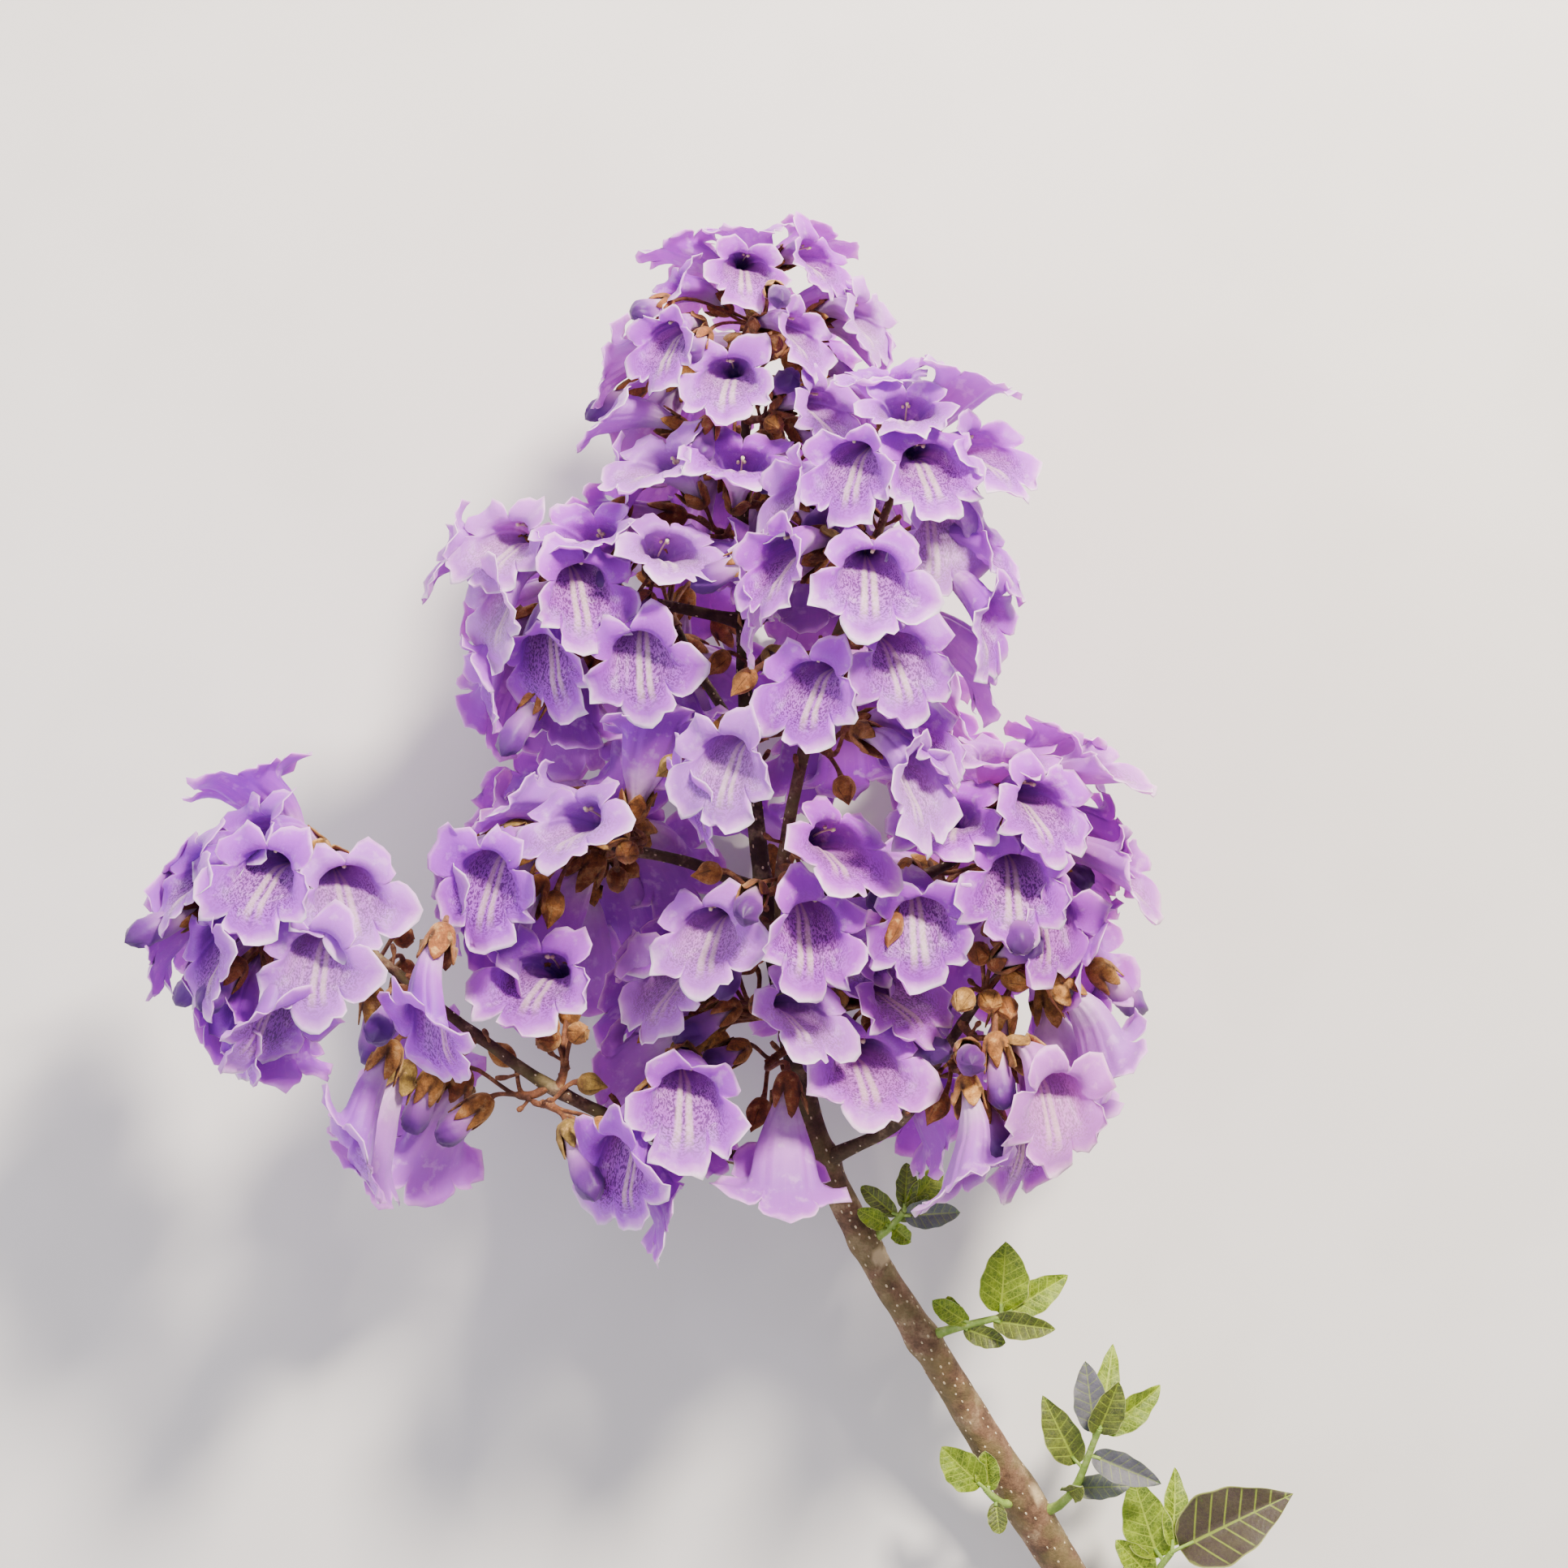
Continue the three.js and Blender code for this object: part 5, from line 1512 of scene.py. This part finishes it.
def cymeStrands(cyme):
    form, strands = stalkForm, []
    foot, heel, normal = cyme["foot"], cyme["heel"], cyme["normal"]
    for number, stalk in enumerate(cyme["stalks"]):
        at, way = stalk["at"], stalk["direction"]
        begin = heel - way if number else foot - normal * form["sunk"]
        strands.append(strand(begin, normal, at, way, form["furtherRadii" if number else "stalkRadii"]))
        line, seed = strands[-1][0], number + 77
        for flower in stalk["flowers"]:
            start, size = flower["start"], flower["size"]
            if number:
                nearest = nearestOn(line, start)
                start = nearest + (start - nearest) * form["fromStalk"]
            startWay, radii = unit(way + flower["direction"]), np.array(form["pedicelRadii"]) * size
            end = flower["foot"] + flower["direction"] * form["pedicelSunk"]
            strands.append(strand(start, startWay, end, flower["direction"], radii))
            knot, step = form["knot"] * size, startWay * form["knotLength"]
            radii = np.array([knot * form["knotEnds"], knot, knot * form["knotEnds"]])
            strands.append((np.array([start - step, start, start + step]), radii))
            seed = flower["seed"] + number * 31
        low, spread = form["spursAlong"]
        for spur in range(2 if stalk["length"] > form["secondSpurFrom"] else 1):
            share = low + spread * chance(seed + spur * 3.3)
            length = form["spurLength"] + form["spurSpread"] * chance(seed + spur * 5.1 + 0.7)
            strands.append(spurFrom(heel + (at - heel) * share, way, seed + spur * 5.1, length))
    return strands


# Blooms, buds and calyces: a point for each, with the kind that goes on it
flowerForm = {
    "roll": 24, "openCalyces": 4, "paintedLightAcross": 0.0018, "tintSpread": 0.45, "cymeShare": 0.6,
    "upperSide": [0, 1, -0.4], "facing": 0.6, "noddingKinds": 5, "colouredShare": 0.48,
}


def turnOf(direction, roll):
    side, up, axis = axesAlong(direction, unit(point(*flowerForm["upperSide"])))
    x = side * math.cos(roll) + up * math.sin(roll)
    return (lieTurn @ Matrix([x, np.cross(axis, x), axis]).transposed()).to_quaternion()


def growScattered(name, spots, kinds, material):
    mesh = bpy.data.meshes.new("spots")
    mesh.from_pydata([list(layDown(spot["foot"])) for spot in spots], [], [])
    for key, kind in {"kind": "INT", "size": "FLOAT", "tint": "FLOAT", "pale": "FLOAT"}.items():
        mesh.attributes.new(key, kind, "POINT").data.foreach_set("value", [spot[key] for spot in spots])
    turns = [part for spot in spots for part in spot["turn"]]
    mesh.attributes.new("turn", "QUATERNION", "POINT").data.foreach_set("value", turns)
    return grow(name, mesh, scatterTree, {"Kinds": kinds, "Size": 0.001, "Material": material})


def pick(seed, count, first=0):
    return first + int(chance(seed) * count)


def cymeSpots(cyme):
    form, petalSpots, feltSpots = flowerForm, [], []
    cymeTint, openCalyces = chance(sum(map(ord, cyme["name"]))), form["openCalyces"]
    for flower in (flower for stalk in cyme["stalks"] for flower in stalk["flowers"]):
        seed, direction = flower["seed"], flower["direction"]
        roll = math.radians(form["roll"] * (chance(seed * 5) - 0.5))
        tint = form["cymeShare"] * cymeTint + (1 - form["cymeShare"]) * chance(seed * 17) - 0.5
        # Painted light: blooms further right are tinted warmer pink as if sunlit, those further left cooler
        # as if in shade; the rest of the tint is the cluster's and the bloom's own
        tint = 0.5 + flower["foot"][0] * form["paintedLightAcross"] + form["tintSpread"] * tint
        spot = {
            "foot": flower["foot"], "size": flower["size"], "turn": turnOf(direction, roll),
            "tint": min(max(tint, 0), 1), "pale": chance(seed * 19) ** 2,
        }
        felt = {**spot, "turn": turnOf(direction, 2 * math.pi * chance(seed * 23)), "tint": chance(seed * 29)}
        if not flower["isBud"]:
            kinds = form["noddingKinds"] if direction[2] > form["facing"] else bloomKinds
            petalSpots.append({**spot, "kind": pick(seed * 11, kinds)})
            felt["kind"] = pick(seed * 13, openCalyces)
        elif chance(seed * 3) < form["colouredShare"]:
            kinds = len(budForms["coloured"]["stretches"])
            petalSpots.append({**spot, "kind": pick(seed * 11, kinds, bloomKinds)})
            felt["kind"] = pick(seed * 13, calyxKinds - openCalyces, openCalyces)
        else:
            felt["kind"] = pick(seed * 11, len(budForms["closed"]["stretches"]), calyxKinds)
        feltSpots.append(felt)
    return petalSpots, feltSpots


for cyme in flowering:
    name = cyme["name"]
    petalSpots, feltSpots = cymeSpots(cyme)
    dress(growStrands(f"{name}_stalks", cymeStrands(cyme), plain["stalk_bark"]), "bark", name)
    if petalSpots:
        dress(growScattered(f"{name}_petals", petalSpots, petalKinds, petalMaterial), "blossom", name)
    if feltSpots:
        dress(growScattered(f"{name}_calyces", feltSpots, feltKinds, feltMaterial), "blossom", name)
print("flower clusters made:", len(flowering), "with", triangles["all"], "triangles so far")

for limbName, count in stalkForm["limbSpurs"].items():
    limb, strands = limbs[limbName], []
    low, spread = stalkForm["mainSpursAlong" if limbName == "main_shoot" else "branchSpursAlong"]
    for k in range(count):
        seed = k + len(limbName) * 13
        t = low + spread * (k + chance(seed)) / count
        length = stalkForm["spurLength"] + radiusAt(limb, t) + stalkForm["spurSpread"] * chance(seed * 7)
        strands.append(spurFrom(limbPoint(limb, t), limbTangent(limb, t), seed, length))
    dress(growStrands(f"{limbName}_spurs", strands, plain["stalk_bark"]), "bark")

# Leaves: a blade folded along its midrib, quilted between its veins, on a downy green stem
leafForm = {
    "rows": 36, "columns": 16, "thickness": 0.5, "edge": 0.18, "petiole": 0.13, "petioleRadius": 0.7,
    "fold": [0.15, 0.5], "veins": 7, "veinWidth": 0.34, "veinSlope": 0.72, "quilt": 0.3, "wave": 0.5,
    "bluntBelow": [14, 36], "tips": [0.5, 1], "shoulders": 0.06, "arch": 0.16, "roll": 34,
    "grey": 0.24, "greyness": 0.85, "brownFrom": 40, "brownness": 0.9, "dusky": 0.5, "duskyShare": 0.4,
    "stemRadii": [2.2, 1.8, 1.6, 1.5, 1.4, 1.35, 1.25, 1.15], "petioleInside": 0.06,
}


def bladeMesh(blade, seed):
    form = leafForm
    rows, columns, length = form["rows"], form["columns"], blade["length"]
    t = np.linspace(0, 1, rows + 1)[:, None]
    across = np.sin(np.linspace(-np.pi / 2, np.pi / 2, columns + 1))[None, :]
    fromMiddle = np.abs(across)
    outline = np.sqrt(t) * (1 - t) ** np.interp(length, form["bluntBelow"], form["tips"])
    half = blade["width"] / 2 * outline / outline.max() * (1 + 0.03 * np.sin(t * 23 + seed)) + 0.05
    x = across * half
    bladeLength = length * (1 - form["petiole"])
    z = length * form["petiole"] + t * bladeLength + 0 * x
    z = z - form["shoulders"] * length * fromMiddle ** 2 * (1 - t) ** 6
    spacing = bladeLength / form["veins"]
    veinCount = (t * bladeLength - np.abs(x) * form["veinSlope"]) / spacing
    inBlade = smooth(t / 0.08) * smooth((0.95 - t) / 0.1) * (1 - fromMiddle ** 5)
    width = form["veinWidth"] * (0.5 + length / 60)
    sideVein = np.exp(-((veinCount % 1 - 0.5) * spacing / width) ** 2) * inBlade
    midrib = np.exp(-(x / (width * 1.5 * (1.15 - t))) ** 2)
    low, high = form["fold"]
    y = np.abs(x) * math.tan(low + (high - low) * chance(seed)) - form["arch"] * length * t ** 2
    y = y - form["quilt"] * (sideVein + midrib)
    y = y + form["wave"] * np.sin(t * 15 + seed * 2 + across) * fromMiddle ** 3
    side, up, axis = axesAlong(blade["direction"], towardsEye)
    roll = math.radians(form["roll"] * (chance(seed * 3) - 0.5))
    side, up = side * math.cos(roll) + up * math.sin(roll), up * math.cos(roll) - side * math.sin(roll)
    upper = blade["start"] + x[..., None] * side + y[..., None] * up + z[..., None] * axis
    thicker = (form["thickness"] - form["edge"]) * (1 - fromMiddle ** 4) * np.minimum(1, 6 * (1 - t))
    thickness = form["edge"] + thicker
    lower = upper - up * (thickness + 0 * x)[..., None]
    place = np.stack([across + 0 * t, veinCount + 4, x / (width * (1.3 - t))], axis=2).reshape(-1, 3)
    count = len(place)
    isGrey = chance(seed * 7) < form["grey"] and length < form["brownFrom"]
    dusky = form["dusky"] * (chance(seed * 13) < form["duskyShare"])
    values = {
        "place": np.concatenate([place, place]),
        "under": np.concatenate([np.full(count, form["greyness"] if isGrey else 0), np.ones(count)]),
        "brown": np.full(2 * count, form["brownness"] if length > form["brownFrom"] else dusky),
    }
    return np.concatenate([upper.reshape(-1, 3), lower.reshape(-1, 3)]), bladeFaces(rows, columns), values


# The upper skin, the lower one and the rim between them
def bladeFaces(rows, columns):
    wide, under = columns + 1, (rows + 1) * (columns + 1)
    faces = []
    for r in range(rows):
        for c in range(columns):
            a = r * wide + c
            faces.append((a, a + wide, a + wide + 1, a + 1))
            faces.append((under + a, under + a + 1, under + a + wide + 1, under + a + wide))
        left, right = r * wide, r * wide + columns
        faces.append((left, under + left, under + left + wide, left + wide))
        faces.append((right, right + wide, under + right + wide, under + right))
    for c in range(columns):
        last = rows * wide + c
        faces.append((c, c + 1, under + c + 1, under + c))
        faces.append((last, under + last, under + last + 1, last + 1))
    return faces


for number, twig in enumerate(leafy):
    name, form, way = twig["name"], leafForm, unit(twig["end"] - twig["heel"])
    foot = twig["foot"] - twig["normal"] * stalkForm["sunk"]
    strands = [strand(foot, twig["normal"], twig["end"], way, form["stemRadii"])]
    points, faces, values = [], [], {"place": [], "under": [], "brown": []}
    for k, blade in enumerate(twig["blades"]):
        start, direction = nearestOn(strands[0][0], blade["start"]), blade["direction"]
        end = blade["start"] + direction * blade["length"] * (form["petiole"] + form["petioleInside"])
        strands.append(strand(start, unit(direction + way), end, direction, [form["petioleRadius"]] * 6))
        more, moreFaces, moreValues = bladeMesh(blade, number * 10 + k + 1)
        first = sum(map(len, points))
        faces += [tuple(first + corner for corner in face) for face in moreFaces]
        points.append(more)
        for key in values:
            values[key].append(moreValues[key])
    dress(growStrands(f"{name}_stem", strands, plain["green_stem"]), "leaf", name)
    values = {key: np.concatenate(parts) for key, parts in values.items()}
    leaves = makeObject(f"{name}_leaves", layDown(np.concatenate(points)), faces, values, leafMaterial)
    dress(leaves, "leaf", name)
print("leafy twigs made:", len(leafy), "with", triangles["all"], "triangles in all")

for kinds in (petalKinds, feltKinds):
    for thing in list(kinds.objects):
        bpy.data.objects.remove(thing)
    bpy.data.collections.remove(kinds)

# The floor that the shoot lies on
floorHalf = 4.0
corners = [(x * floorHalf, y * floorHalf, 0) for x, y in ((-1, -1), (1, -1), (1, 1), (-1, 1))]
link(makeObject("floor", corners, [(0, 1, 2, 3)], None, plain["pale_floor"]))

# Soft light, with the sun's side at the upper right
studio = {
    "sky": ["f4f1f3", 0.62],
    "lamps": {
        "key": {"at": [560, 900, 1150], "size": 0.3, "power": 76, "colour": "fff2e2"},
        "fill": {"at": [-1100, -200, 900], "size": 1.4, "power": 14, "colour": "f0eeff"},
        "back": {"at": [200, 1100, 150], "size": 0.7, "power": 12, "colour": "fff4f0"},
    },
}

for lampName, lamp in studio["lamps"].items():
    light = bpy.data.lights.new(lampName, "AREA")
    light.shape, light.size, light.energy = "DISK", lamp["size"], lamp["power"]
    light.color = colour(lamp["colour"])[:3]
    lampObject = link(bpy.data.objects.new(lampName, light))
    lampObject.location = layDown(lamp["at"])
    lampObject.rotation_mode = "QUATERNION"
    aim = Vector(layDown([0, 0, 0])) - lampObject.location
    lampObject.rotation_quaternion = aim.to_track_quat("-Z", "Y")

world = bpy.data.worlds.new("studio")
world.use_nodes = True
skyCode, skyStrength = studio["sky"]
fill(world.node_tree.nodes["Background"], {"Color": colour(skyCode), "Strength": skyStrength})
bpy.context.scene.world = world

# The camera looks down on the shoot from where the photo was taken
shot = {"distance": 1400, "pixelsPerMm": 3.6, "halfFrame": 966, "sensor": 36}
cameraData = bpy.data.cameras.new("camera")
cameraData.sensor_width = shot["sensor"]
cameraData.lens = shot["sensor"] / 2 * shot["distance"] / (shot["halfFrame"] / shot["pixelsPerMm"])
camera = link(bpy.data.objects.new("camera", cameraData))
camera.matrix_world = Matrix.Translation(layDown([0, 0, shot["distance"]])) @ lieTurn.to_4x4()
bpy.context.scene.camera = camera

bpy.context.view_layer.update()
